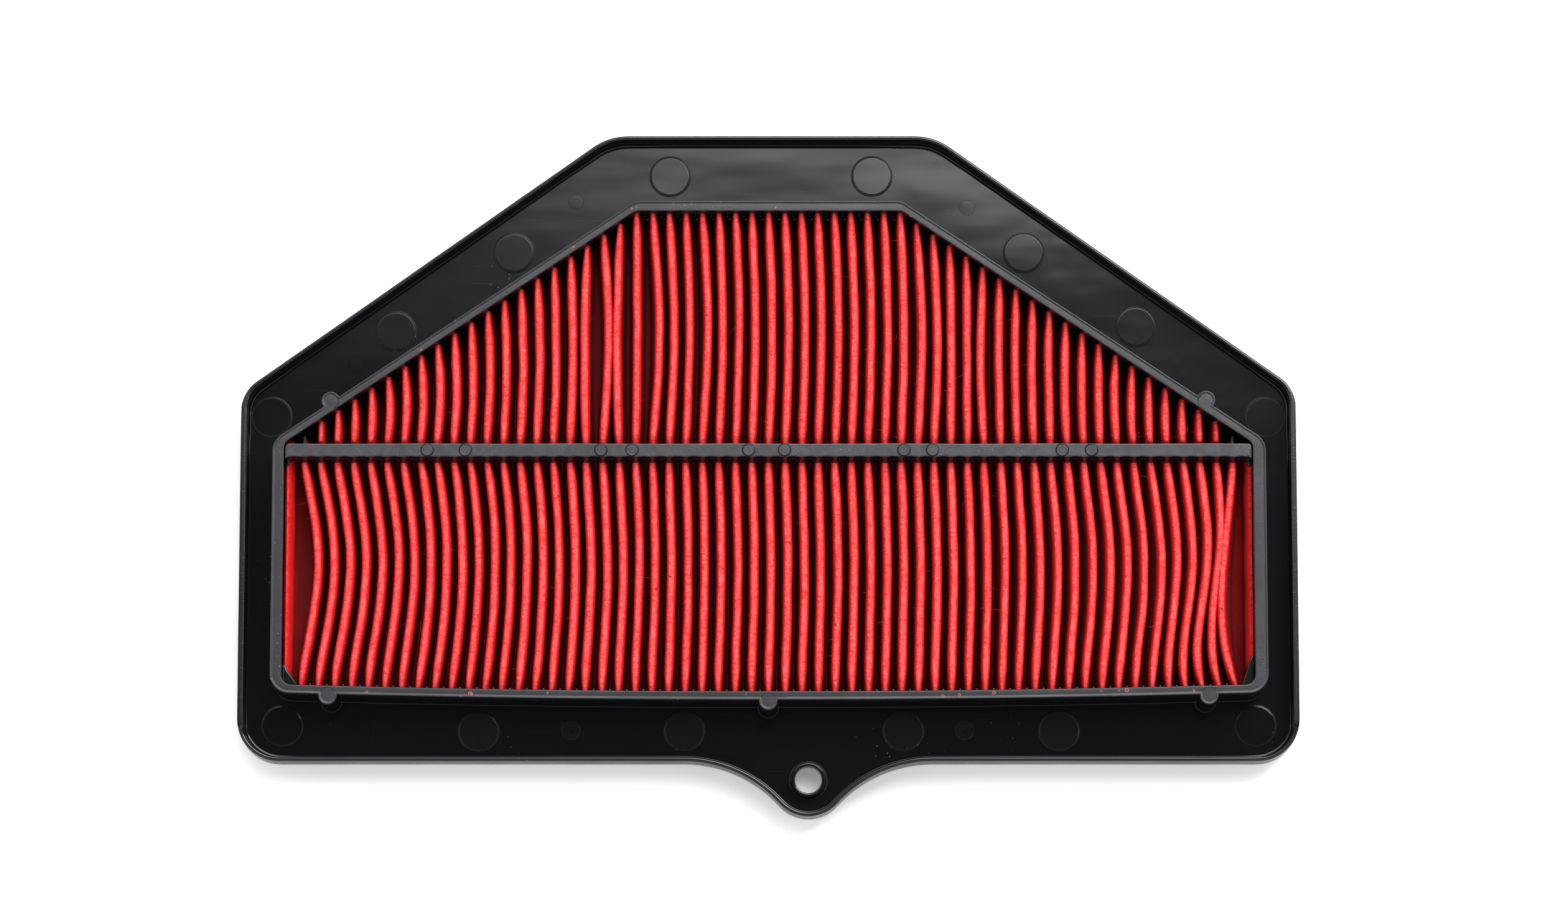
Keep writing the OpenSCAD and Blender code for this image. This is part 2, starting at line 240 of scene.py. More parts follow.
def makeMouldGrain():  # fine spark-eroded grain of a matt moulded face
    tree, t, given, out = newGroup(
        "mouldGrain", {"Grain Size": 2600.0, "Patch Size": 60.0}, ["Height", "Patches", "Specks"]
    )
    place = t.add("ShaderNodeTexCoord").outputs["Object"]
    fine = noiseAt(t, place, given.outputs["Grain Size"], 3.0, 0.65)
    coarse = noiseAt(t, place, given.outputs["Patch Size"], 3.0, 0.6)
    specks = t.span(noiseAt(t, place, 1500.0, 2.0), 0.70, 0.78)
    t.put(out.inputs["Height"], fine)
    t.put(out.inputs["Patches"], coarse)
    t.put(out.inputs["Specks"], specks)
    return tree


def makeHandling():  # dust, lint and hair scratches on a glossy moulding
    tree, t, given, out = newGroup(
        "handling", {"Dust": 0.5, "Scratches": 0.5}, ["Dust Mask", "Scratch Mask", "Wave"]
    )
    place = t.add("ShaderNodeTexCoord").outputs["Object"]
    cells = t.add("ShaderNodeTexVoronoi", feature="F1")
    t.links.new(place, cells.inputs["Vector"])
    t.put(cells.inputs["Scale"], 520.0)
    grains = t.span(cells.outputs["Distance"], 0.13, 0.05)
    fields = t.span(noiseAt(t, place, 35.0, 3.0, 0.6), 0.56, 0.74)
    dust = t.math("MULTIPLY", t.math("MULTIPLY", grains, fields), given.outputs["Dust"])
    t.put(out.inputs["Dust Mask"], dust)
    lines = None
    for angle, size in ((0.4, 36.0), (-0.9, 41.0), (1.7, 32.0)):
        turned = t.add("ShaderNodeMapping")
        t.links.new(place, turned.inputs["Vector"])
        turned.inputs["Rotation"].default_value = (0, 0, angle)
        turned.inputs["Scale"].default_value = (1.0, 46.0, 1.0)
        hair = t.span(noiseAt(t, turned.outputs[0], size, 2.0), 0.735, 0.75)
        lines = hair if lines is None else t.math("MAXIMUM", lines, hair)
    t.put(out.inputs["Scratch Mask"], t.math("MULTIPLY", lines, given.outputs["Scratches"]))
    split = t.add("ShaderNodeSeparateXYZ")
    t.links.new(place, split.inputs[0])
    gate = t.math("MULTIPLY", t.span(split.outputs[0], 0.015, 0.05), t.span(split.outputs[1], 0.035, 0.065))
    flow = t.math("MULTIPLY", noiseAt(t, place, 42.0, 2.0, 0.5, (0.7, 1.0, 1.0)), gate)
    broad = noiseAt(t, place, 55.0, 2.0, 0.45, (0.42, 1.0, 1.0))
    t.put(out.inputs["Wave"], t.math("MULTIPLY_ADD", flow, 1.5, broad))
    return tree


def makeFeltFibre():  # tangled fibres of a pressed felt, a painted highlight on the tips where they face up, and painted shade down the folds
    tree, t, given, out = newGroup(
        "feltFibre",
        {"Tip Height": 0.0183, "Depth": 0.0055},
        ["Fluff", "Painted Shade", "Tangle", "Height", "Blotches", "Specks", "Ends"],
    )
    tip = given.outputs["Tip Height"]
    place = t.add("ShaderNodeTexCoord").outputs["Object"]
    split = t.add("ShaderNodeSeparateXYZ")
    t.links.new(place, split.inputs[0])
    height = split.outputs[2]
    fine = noiseAt(t, place, 2300.0, 3.0, 0.7)
    strands = noiseAt(t, place, 900.0, 2.0, 0.6, (1.0, 0.35, 1.0))
    crossed = noiseAt(t, place, 1000.0, 2.0, 0.6, (0.35, 1.0, 1.0))
    tangle = t.math("MULTIPLY_ADD", t.math("MAXIMUM", strands, crossed), 0.6, t.math("MULTIPLY", fine, 0.4))
    facing = t.add("ShaderNodeSeparateXYZ")
    t.links.new(t.add("ShaderNodeNewGeometry").outputs["Normal"], facing.inputs[0])
    raised = t.span(height, t.math("SUBTRACT", tip, 0.0032), tip)
    # painted highlight: the tips are paler where they face up
    turnedUp = t.span(t.math("MULTIPLY_ADD", tangle, 0.45, facing.outputs[2]), 0.80, 1.28)
    t.put(out.inputs["Fluff"], t.math("MULTIPLY", turnedUp, raised))
    # painted shade: darker down the folds, below the tips
    depth = t.math("SUBTRACT", tip, given.outputs["Depth"])
    t.put(out.inputs["Painted Shade"], t.span(height, t.math("SUBTRACT", tip, 0.0006), depth))
    t.put(out.inputs["Tangle"], tangle)
    t.put(out.inputs["Height"], t.math("MULTIPLY_ADD", fine, 0.5, tangle))
    t.put(out.inputs["Blotches"], noiseAt(t, place, 130.0, 3.0, 0.6))
    dots = t.span(noiseAt(t, place, 620.0, 1.0), 0.72, 0.75)
    t.put(out.inputs["Specks"], t.math("MULTIPLY", dots, t.span(noiseAt(t, place, 42.0, 2.0), 0.54, 0.62)))
    # near the sheet's ends the painted shade is lifted, in streaks along the folds
    streaks = t.span(noiseAt(t, place, 520.0, 2.0, 0.6, (1.0, 0.03, 0.2)), 0.40, 0.62, 0.15, 1.15)
    atEnds = t.span(t.math("ABSOLUTE", split.outputs[0]), 0.1245, 0.1275)
    t.put(out.inputs["Ends"], t.math("MULTIPLY", atEnds, streaks))
    return tree


groups = {"grain": makeMouldGrain(), "handling": makeHandling(), "felt": makeFeltFibre()}


def useGroup(t, group, **values):
    node = t.add("ShaderNodeGroup")
    node.node_tree = groups[group]
    for name, value in values.items():
        node.inputs[name.replace("_", " ")].default_value = value
    return node


def newMaterial(name, colour, roughness, **sockets):
    material = bpy.data.materials.new(name)
    material.use_nodes = True
    t = Tree(material.node_tree)
    shader = t.add("ShaderNodeBsdfPrincipled")
    t.put(shader.inputs["Base Color"], (*colour, 1))
    t.put(shader.inputs["Roughness"], roughness)
    for item, value in sockets.items():
        t.put(shader.inputs[item.replace("_", " ")], value)
    t.links.new(shader.outputs[0], t.add("ShaderNodeOutputMaterial").inputs["Surface"])
    return material, t, shader


def bump(t, shader, height, strength, distance):
    node = t.add("ShaderNodeBump")
    t.put(node.inputs["Height"], height)
    t.put(node.inputs["Strength"], strength)
    t.put(node.inputs["Distance"], distance)
    t.links.new(node.outputs[0], shader.inputs["Normal"])


def glossPlastic(name, colour, roughness, dust, scratches):
    material, t, shader = newMaterial(name, colour, roughness, IOR=1.5)
    wear = useGroup(t, "handling", Dust=dust, Scratches=scratches)
    marks = t.math("MAXIMUM", wear.outputs["Dust Mask"], wear.outputs["Scratch Mask"])
    t.put(shader.inputs["Base Color"], t.blend(marks, (*colour, 1), (0.30, 0.30, 0.31, 1)))
    t.put(shader.inputs["Roughness"], t.math("MULTIPLY_ADD", marks, 0.5, roughness))
    bump(t, shader, t.math("MULTIPLY_ADD", wear.outputs["Wave"], 6.0, marks), 1.0, 0.00001)
    return material


def mattPlastic(name, colour, roughness, grain, depth, patches=60.0, dents=0.0, ior=1.58, lift=0.01):
    material, t, shader = newMaterial(name, colour, roughness, IOR=ior)
    mould = useGroup(t, "grain", Grain_Size=grain, Patch_Size=patches)
    wear = useGroup(t, "handling", Dust=0.5, Scratches=0.12)
    pale = tuple(1.6 * c + lift for c in colour)
    dark = tuple(0.62 * c for c in colour)
    tone = t.blend(t.span(mould.outputs["Patches"], 0.3, 0.7), (*dark, 1), (*pale, 1))
    tone = t.blend(t.span(mould.outputs["Height"], 0.35, 0.7), t.blend(0.5, tone, (*dark, 1)), tone)
    marks = t.math("MAXIMUM", t.math("MULTIPLY", mould.outputs["Specks"], 0.35), wear.outputs["Dust Mask"])
    t.put(shader.inputs["Base Color"], t.blend(marks, tone, (0.34, 0.34, 0.35, 1)))
    worn = t.span(mould.outputs["Patches"], 0.25, 0.75, roughness + 0.05, roughness - 0.04)
    t.put(shader.inputs["Roughness"], worn)
    relief = t.math("MULTIPLY_ADD", mould.outputs["Patches"], dents, mould.outputs["Height"])
    bump(t, shader, relief, 0.8, depth)
    return material


materials = {
    "gloss": glossPlastic("glossBlackPlastic", (0.0042, 0.0044, 0.0056), 0.075, 0.35, 0.02),
    # a lighter copy of the gloss for the front discs: a painted reflection
    "pad": glossPlastic("ejectorPadPaintedLight", (0.0072, 0.0076, 0.0094), 0.09, 0.2, 0.0),
    "padEdge": mattPlastic("ejectorEdge", (0.0025, 0.0025, 0.0030), 0.42, 2600.0, 0.00002, ior=1.3, lift=0.0),
    "rimSide": mattPlastic("rimSide", (0.0025, 0.0025, 0.0030), 0.26, 2100.0, 0.00003, ior=1.2, lift=0.004),
    "strip": mattPlastic("mattGreyMould", (0.0110, 0.0110, 0.0140), 0.30, 2600.0, 0.00003),
    # a darker copy of the strip: painted shade on the front lip
    "lip": mattPlastic("mattLipPaintedShade", (0.0045, 0.0045, 0.0060), 0.38, 2600.0, 0.00003),
    "rimGrain": mattPlastic("grainedRim", (0.0025, 0.0025, 0.003), 0.17, 2100.0, 0.00003),
    "bar": mattPlastic("mattBar", (0.0200, 0.0200, 0.0240), 0.31, 2400.0, 0.00003, 300.0, 1.2),
    "comb": glossPlastic("combPlastic", (0.006, 0.006, 0.0065), 0.12, 0.1, 0.0),
    "grille": mattPlastic("grillePlastic", (0.016, 0.016, 0.018), 0.34, 2000.0, 0.00003),
}


# outlines are lists of (point, outward normal), anticlockwise, in mm


def turned(v, angle):
    c, s = math.cos(angle), math.sin(angle)
    return Vector((v.x * c - v.y * s, v.x * s + v.y * c))


def cornerArc(a, p, b, radius, steps=12):  # rounds the corner p between a and b
    u, v = (p - a).normalized(), (b - p).normalized()
    turn = math.atan2(u.x * v.y - u.y * v.x, u.dot(v))
    normal = Vector((u.y, -u.x))
    centre = p - u * radius * math.tan(turn / 2) - normal * radius
    arc = [turned(normal, turn * k / steps) for k in range(steps + 1)]
    return [(centre + n * radius, n) for n in arc]


def dense(line, step):  # adds stations so that none are further apart than about one step
    out = []
    for i, (p, n) in enumerate(line):
        q, m = line[(i + 1) % len(line)]
        out.append((p, n))
        parts = int((q - p).length // step)
        for k in range(1, parts + 1):
            s = k / (parts + 1)
            out.append((p.lerp(q, s), n.lerp(m, s)))
    return out


def sixCorners(halfWidth, front, rear, slope, intercept):  # from the front left one, anticlockwise
    side, back = intercept - slope * halfWidth, (intercept - rear) / slope
    right = [(halfWidth, front), (halfWidth, side), (back, rear)]
    left = [(-back, rear), (-halfWidth, side)]
    return [Vector(c) for c in [(-halfWidth, front)] + right + left]


tray = {
    "halfWidth": 145.0,
    "front": -79.45,
    "rear": 94.55,
    "rearHalf": 44.2,
    "slantDrop": 71.9,
    "rightSlantOut": 1.1,
    "radii": (11.5, 11.5, 10, 17, 17, 10),  # from the front left corner, anticlockwise
    "rimTop": 10.9,
    "rimFoot": 2.0,
    "flangeTop": 5.0,
    "flangeFoot": 3.0,
    "wallTop": 20.94,  # the witness lines on it reach 21
    "wallFoot": 1.0,
    "tabX": 10.9,
    "tabReach": 15.1,
    "noseRadius": 10.7,
    "hollowRadius": 35.2,
    "holeY": -84.15,
    "holeRadius": 3.65,
    "collarWall": 1.15,
    "collarTop": 7.3,
    "collarRound": 0.25,
    "collarDraft": 0.05,
    "boreRound": 0.28,
    "flatEnd": -69.6,  # where the side rims' flat grained tops stop
}
wall = {
    "halfWidth": 135.6,
    "front": -62.25,
    "rear": 74.35,
    "rearHalf": 36.6,
    "slantDrop": 66.75,
    "radius": 5.6,
    "bow": 1.8,
    "rightOut": 0.45,
    "seatRadius": 2.8,
    "seatX": 119.6,
}
room = {
    "halfWidth": 132.2,
    "front": -59.65,
    "rear": 71.25,
    "radius": 2.8,
    "thin": 2.6,
    "ledge": 3.2,
    "ledgeTop": 4.0,
    "ledgeFoot": 2.5,
}
wall["slope"] = wall["slantDrop"] / (wall["halfWidth"] - wall["rearHalf"])
wall["intercept"] = wall["rear"] + wall["slope"] * wall["rearHalf"]
room["intercept"] = wall["intercept"] - room["thin"] * math.hypot(1, wall["slope"])


def rimLine():  # the tray's outline, with the screw tab's nose and the hollows beside it
    slope = tray["slantDrop"] / (tray["halfWidth"] - tray["rearHalf"])
    intercept = tray["rear"] + slope * tray["rearHalf"]
    c = sixCorners(tray["halfWidth"], tray["front"], tray["rear"], slope, intercept)
    c[2].y += tray["rightSlantOut"]  # the right slant lies a little further out than the left one
    c[3].x += tray["rightSlantOut"] / slope
    total = tray["noseRadius"] + tray["hollowRadius"]
    half = math.sqrt(total**2 - (total - tray["tabReach"]) ** 2)
    turn = math.acos((total - tray["tabReach"]) / total)
    line = cornerArc(c[5], c[0], c[1], tray["radii"][0])
    steps = 14
    for side in (-1, 1):
        centre = Vector((tray["tabX"] + side * half, tray["front"] - tray["hollowRadius"]))
        arc = [turned(Vector((0, 1)), side * turn * k / steps) for k in range(steps + 1)]
        hollow = [(centre + n * tray["hollowRadius"], -n) for n in arc]
        if side < 0:
            line += hollow[:-1]
            nose = Vector((tray["tabX"], tray["front"] - tray["tabReach"] + tray["noseRadius"]))
            arc = [turned(Vector((0, -1)), turn * (k / steps - 1)) for k in range(2 * steps + 1)]
            line += [(nose + n * tray["noseRadius"], n) for n in arc]
        else:
            line += hollow[-2::-1]
    for k in range(1, 6):
        line += cornerArc(c[k - 1], c[k], c[(k + 1) % 6], tray["radii"][k])
    return dense(line, 5)


def bowedLine(shape, radius, step, rightOut=0.0):  # six sides, the front one bowed, for the wall and its room
    c = sixCorners(shape["halfWidth"], shape["front"], shape["rear"], wall["slope"], shape["intercept"])
    for corner in c[1:3]:
        corner.x += rightOut
    reach = shape["halfWidth"] - radius
    line = cornerArc(c[5], c[0], c[1], radius)
    halfSteps = 24
    for k in range(1, 2 * halfSteps):
        x = reach * (k / halfSteps - 1)
        lean = Vector((2 * wall["bow"] * x / reach**2, -1)).normalized()
        line.append((Vector((x, shape["front"] - wall["bow"] * (1 - (x / reach) ** 2))), lean))
    for k in range(1, 6):
        line += cornerArc(c[k - 1], c[k], c[(k + 1) % 6], radius)
    return dense(line, step)


def withSeat(line, x, front, radius):  # lets a half round ejector seat into the outline
    reach, gap, steps = 9, 0.35, 14
    near = [i for i, (p, n) in enumerate(line) if abs(p.x - x) < reach and (n.y < -0.5) == front]
    at = min(near, key=lambda i: abs(line[i][0].x - x))
    p, n = line[at]
    along = Vector((-n.y, n.x))
    centre = p + along * (x - p.x) / along.x
    arc = []
    for k in range(steps + 1):
        a = math.pi * k / steps
        radial = -along * math.cos(a) + n * math.sin(a)
        mitre = n if k in (0, steps) else Vector((0, 0))
        arc.append((centre + radial * radius, radial + mitre))
    kept = [i for i in range(len(line)) if (line[i][0] - centre).length > radius + gap]
    start = next(k for k in range(len(kept)) if kept[k] + 1 != kept[(k + 1) % len(kept)] % len(line))
    before, after = kept[: start + 1], kept[start + 1 :]
    return [line[i] for i in before] + arc + [line[i] for i in after]


def roundLine(centre, radius, steps=40):
    arc = [turned(Vector((1, 0)), 2 * math.pi * k / steps) for k in range(steps)]
    return [(centre + n * radius, n) for n in arc]


def quarter(parts=5):  # sine and cosine at the steps of a quarter round
    return [(math.sin(math.pi / 2 * k / parts), math.cos(math.pi / 2 * k / parts)) for k in range(parts + 1)]


class Shell:  # a mesh built from rings of points, in mm
    def __init__(self, *finishes):
        self.finishes = list(finishes)  # the first one is used where no other is named
        self.points, self.faces, self.kinds, self.rounded = [], [], [], []

    def face(self, corners, finish=None, rounded=True):
        self.faces.append(tuple(corners))
        self.kinds.append(self.finishes.index(finish) if finish else 0)
        self.rounded.append(rounded)

    def ring(self, line, row, shift=None):  # a row is (inset, height), or a function of the station
        start = len(self.points)
        for p, n in line:
            inset, height = row(p, n) if callable(row) else row
            q = p - n * inset
            if shift:
                q = shift(q, height)
            self.points.append((q.x, q.y, height))
        return list(range(start, len(self.points)))

    def band(self, a, b, finish=None, closed=True):  # a finish is a name, or a function of the point
        count = len(a)
        for k in range(count if closed else count - 1):
            m = (k + 1) % count
            named = finish(self.points[a[k]]) if callable(finish) else finish
            self.face((a[k], a[m], b[m], b[k]), named)

    def loft(self, line, rows, finishes=None, shift=None):
        rings = [self.ring(line, row, shift) for row in rows]
        for k, (a, b) in enumerate(zip(rings, rings[1:])):
            self.band(a, b, finishes[k] if isinstance(finishes, list) else finishes)
        return rings[0], rings[-1]

    def fan(self, ring, point, finish=None):  # closes a ring to one point
        middle = len(self.points)
        self.points.append(point)
        for k in range(len(ring)):
            self.face((ring[k], ring[(k + 1) % len(ring)], middle), finish)

    def fill(self, rings, up, finish=None):  # flat faces between an outline and its holes
        flat = [i for ring in rings for i in ring]
        corners = tessellate_polygon([[Vector(self.points[i]) for i in ring] for ring in rings])
        for a, b, c in corners:
            a, b, c = flat[a], flat[b], flat[c]
            p, q, r = (Vector(self.points[i]) for i in (a, b, c))
            area = (q - p).cross(r - p).z
            if abs(area) < 1e-7:
                continue
            self.face((a, b, c) if (area > 0) == up else (a, c, b), finish, rounded=False)

    def build(self, name, slot, nodes=(), sharp=38):
        mesh = bpy.data.meshes.new(name)
        mesh.from_pydata([Vector(p) * mm for p in self.points], [], self.faces)
        for item in self.finishes:
            mesh.materials.append(materials[item])
        mesh.polygons.foreach_set("material_index", self.kinds)
        mesh.polygons.foreach_set("use_smooth", self.rounded)
        mesh.set_sharp_from_angle(angle=math.radians(sharp))
        mesh.validate()
        mesh.update()
        piece = bpy.data.objects.new(name, mesh)
        bpy.context.scene.collection.objects.link(piece)
        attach(piece, "root")
        if nodes:
            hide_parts(*nodes)
        return piece


frameLook = {
    "roundTop": 1.25,  # width of the rim's rounded top, mm
    "flatTop": 1.6,
    "innerDraft": 0.16,
    "fillet": 0.45,
    "cornerFillet": 0.8,
    "wallFillet": 0.12,
    "wallDraft": 0.25,
    "edgeRound": 0.14,
    "stripDrop": 0.07,  # the strip lies this much below the lip round its outer edge
    "lipWidth": 0.95,
    "wideCorners": [(145, -79, 11), (145, 23, 12), (44, 94, 12)],  # x either side, y and reach
}


def flatness(p):  # 1 along the side rims, whose tops are flat and grained
    if abs(p.x) < 138 or p.y < tray["flatEnd"]:
        return 0.0
    return smooth(30, 16, p.y)


def cornerness(p):  # 1 at the tray's rounded corners, where the fillet is wider
    x, y = abs(p.x), p.y
    return max(smooth(r + 6, r - 4, math.hypot(x - a, y - b)) for a, b, r in frameLook["wideCorners"])


def unevenness(q, height):  # mouldings are never quite straight
    rise = smooth(4.5, 11, height)
    wave = noise.noise(Vector((q.x / 45, q.y / 45, 3.1))) * 0.07 * rise
    sign = 1 if q.x > 0 else -1
    return Vector((q.x - sign * abs(wave), q.y + abs(wave) * (1 if q.y < 0 else -1)))


def rimTopFinish(q):
    return "rimGrain" if flatness(Vector(q[:2])) > 0.5 else None


def rimOuterTopFinish(q):
    return rimTopFinish(q) or "rimSide"


def rimRows():  # the rim's section from under the flange, up its outside and down to the flange's top
    top, flange, under, foot = tray["rimTop"], tray["flangeTop"], tray["flangeFoot"], tray["rimFoot"]
    look = frameLook
    rows = [(2.3, under), (1.9, under), (1.5, under - 0.25), (1.45, foot + 0.3), (1.25, foot + 0.05)]
    rows += [(0.35, foot), (0.1, foot + 0.1)]
    finishes = [None] * len(rows)
    rows += [(0.0, foot + 0.35), (0.02, 5.0), (0.04, 8.5)]
    finishes += ["rimSide"] * 3

    def topWidth(p):
        return mix(look["roundTop"], look["flatTop"], flatness(p))

    def filletRadius(p):
        return mix(look["fillet"], look["cornerFillet"], cornerness(p))

    def crest(k):
        def row(p, n):
            f = flatness(p)
            half, high = topWidth(p) / 2, mix(0.62, 0.3, f)
            power = mix(1.0, 0.22, f)
            c, s = math.cos(math.pi * k / crestParts), math.sin(math.pi * k / crestParts)
            c = math.copysign(abs(c) ** power, c) if abs(c) > 1e-6 else 0
            return 0.06 + half - half * c, top - high + high * s**power if s > 1e-6 else top - high
        return row

    crestParts, dullParts = 10, 3
    rows += [crest(k) for k in range(crestParts + 1)]
    finishes += [rimOuterTopFinish] * dullParts + [rimTopFinish] * (crestParts - dullParts) + [None]

    def fillet(s, c):
        def row(p, n):
            r = filletRadius(p)
            return topWidth(p) + look["innerDraft"] + r * (1 - c), flange + r * (1 - s)
        return row

    def settled(p, n):
        return topWidth(p) + look["innerDraft"] + filletRadius(p) + 0.35, flange

    rows += [fillet(s, c) for s, c in quarter(6)] + [settled]
    finishes += [None] * 7
    return rows, finishes


def lipShadeFinish(q):  # the lip is painted darker along the front: painted shade
    return "lip" if q[1] < -55 else "strip"


def wallRows():  # up the wall's outside and over its lip to the strip
    look, flange, top = frameLook, tray["flangeTop"], tray["wallTop"]
    fillet, draft, edge = look["wallFillet"], look["wallDraft"], look["edgeRound"]
    lip, drop = look["lipWidth"], look["stripDrop"]
    rows = [(-fillet - 0.35, flange)]
    rows += [(-fillet * (1 - s), flange + fillet * (1 - c)) for s, c in quarter()]
    rows += [(draft * 0.5, 13.0), (draft, top - edge)]
    finishes = [None] * (len(rows) - 1)
    rows += [(draft + edge * (1 - c), top - edge * (1 - s)) for s, c in quarter(3)][1:]
    rows += [(draft + edge + 0.1, top), (lip - 0.08, top - drop * 0.85)]
    rows += [(lip, top - drop * 1.1), (lip + 0.12, top - drop)]
    finishes += ["padEdge"] * 2 + [lipShadeFinish] * 3 + ["strip"] * 2
    return rows, finishes


def roomRows():  # from the strip down the wall's inside, round the ledge and to the underside
    edge, low = frameLook["edgeRound"], tray["wallTop"] - frameLook["stripDrop"]
    ledge, ledgeTop, ledgeFoot, foot = room["ledge"], room["ledgeTop"], room["ledgeFoot"], tray["wallFoot"]
    rows = [(-edge - 0.25, low), (-edge, low)]
    rows += [(-edge * (1 - s), low - edge * (1 - c)) for s, c in quarter(3)][1:]
    finishes = ["strip"] + ["padEdge"] * 3
    rows += [(-0.12, 12.0), (0.0, 4.4), (0.25, ledgeTop), (ledge - 0.2, ledgeTop)]
    rows += [(ledge, ledgeTop - 0.2), (ledge, ledgeFoot + 0.1), (ledge - 0.1, ledgeFoot), (0.1, ledgeFoot)]
    rows += [(0, ledgeFoot - 0.1), (0, foot + 0.2), (-0.2, foot)]
    finishes += [None] * (len(rows) - 1 - len(finishes))
    return rows, finishes


def collarRows():  # up and over the screw collar, then down through its hole
    flange, top, wide = tray["flangeTop"], tray["collarTop"], -tray["collarWall"]
    edge, draft, bore, under = tray["collarRound"], tray["collarDraft"], tray["boreRound"], tray["flangeFoot"]
    rows = [(wide - 0.55, flange)]
    rows += [(wide - edge * (1 - s), flange + edge * (1 - c)) for s, c in quarter(4)]
    rows += [(wide + draft, top - edge)]
    rows += [(wide + draft + edge * (1 - c), top - edge * (1 - s)) for s, c in quarter(3)][1:]
    finishes = ["padEdge"] * (len(rows) - 1)
    rows += [(-bore, top)] + [(-bore * (1 - s), top - bore * (1 - c)) for s, c in quarter(3)][1:]
    rows += [(0, under + 0.25), (-0.25, under), (-0.5, under)]
    finishes += [None] * (len(rows) - 1 - len(finishes))
    return rows, finishes


def buildFrame():
    shell = Shell("gloss", "strip", "rimGrain", "pad", "padEdge", "lip", "rimSide")
    rimStart, rimEnd = shell.loft(rimLine(), *rimRows(), unevenness)
    wallLine = bowedLine(wall, wall["radius"], 3, wall["rightOut"])
    for x in (-wall["seatX"], 0, wall["seatX"]):
        wallLine = withSeat(wallLine, x, True, wall["seatRadius"])
    for x in (-wall["seatX"], wall["seatX"]):
        wallLine = withSeat(wallLine, x, False, wall["seatRadius"])
    wallStart, stripOut = shell.loft(wallLine, *wallRows())
    stripIn, footIn = shell.loft(bowedLine(room, room["radius"], 3), *roomRows())
    foot, under = tray["wallFoot"], tray["flangeFoot"]
    below = [(0.25, foot), (0.0, foot + 0.25), (0.0, under - 0.3), (-0.3, under), (-0.7, under)]
    footOut, underWall = shell.loft(wallLine, below)
    hole = roundLine(Vector((tray["tabX"], tray["holeY"])), tray["holeRadius"])
    collarStart, boreEnd = shell.loft(hole, *collarRows())
    shell.fill([rimEnd, wallStart, collarStart], True)
    shell.fill([stripOut, stripIn], True, "strip")
    shell.fill([rimStart, underWall, boreEnd], False)
    shell.fill([footOut, footIn], False)
    return shell


def addLip(shell, x, y, z, radius, width, height, start, end, finish=None):  # a thin raised witness line
    degreesPerStep = 9
    steps = max(int(abs(end - start) / degreesPerStep), 4)
    rings = []
    closed = abs(end - start) >= 359
    for k in range(steps + (0 if closed else 1)):
        a = math.radians(start + (end - start) * k / steps)
        fade = 1.0 if closed else smooth(0, 0.18, k / steps) * smooth(1, 0.82, k / steps)
        c, s = math.cos(a), math.sin(a)
        base = len(shell.points)
        for across, rise in ((-1, -0.3), (-0.6, 0.6), (0, 1), (0.6, 0.6), (1, -0.3)):
            r = radius + across * width / 2 * mix(0.3, 1, fade)
            shell.points.append((x + r * c, y + r * s, z + height * (rise * fade - 0.02)))
        rings.append(list(range(base, base + 5)))
    for k in range(len(rings) if closed else len(rings) - 1):
        shell.band(rings[(k + 1) % len(rings)], rings[k], finish, closed=False)


def addPad(shell, x, y, radius, height, tilt, finish, edgeFinish):  # the raised disc an ejector pin leaves
    heading, angle = tilt
    lean = Vector((math.cos(heading), math.sin(heading))) * math.tan(angle)
    line = roundLine(Vector((x, y)), radius, 48)
    rings = []
    for inset, rise in ((-0.10, -0.03), (0.0, 0.35), (0.07, 0.85), (0.16, 1.0), (0.34, 1.0)):
        ring = shell.ring(line, (inset, 0))
        for k in ring:
            px, py, _ = shell.points[k]
            slope = lean.x * (px - x) + lean.y * (py - y)
            shell.points[k] = (px, py, tray["flangeTop"] + height * rise + (slope if rise > 0 else 0))
        rings.append(ring)
    for a, b in zip(rings[:3], rings[1:]):
        shell.band(a, b, edgeFinish)
    shell.band(rings[3], rings[4], finish)
    shell.fan(rings[4], (x, y, tray["flangeTop"] + height), finish)


def addCircle(shell, x, y, z, radius, width):  # a flat dull line round a mark
    line = roundLine(Vector((x, y)), radius, 48)
    half = width / 2
    shell.loft(line, [(-half, z - 0.03), (-half + 0.04, z), (half, z)], "padEdge")


def addDome(shell, x, y, radius, height, parts=7):  # a shallow swelling or sink mark
    foot = tray["flangeTop"] - 0.004
    rises = [0.5 - 0.5 * math.cos(math.pi * k / parts) for k in range(parts)]
    rows = [(radius * (k / parts), foot + height * rise) for k, rise in enumerate(rises)]
    last = shell.loft(roundLine(Vector((x, y)), radius, 32), rows)[1]
    shell.fan(last, (x, y, foot + height))


def addCrease(shell, x, y0, y1, width=0.16, height=0.03):  # a faint wavy flow line
    line = [Vector((x + 0.12 * math.sin(k), mix(y0, y1, k / 6))) for k in range(7)]
    sides = []
    for across, rise in ((-width, -0.01), (0, height), (width, -0.01)):
        base = len(shell.points)
        shell.points += [(p.x + across, p.y, tray["flangeTop"] + rise) for p in line]
        sides.append(list(range(base, base + len(line))))
    shell.band(sides[1], sides[0], closed=False)
    shell.band(sides[2], sides[1], closed=False)


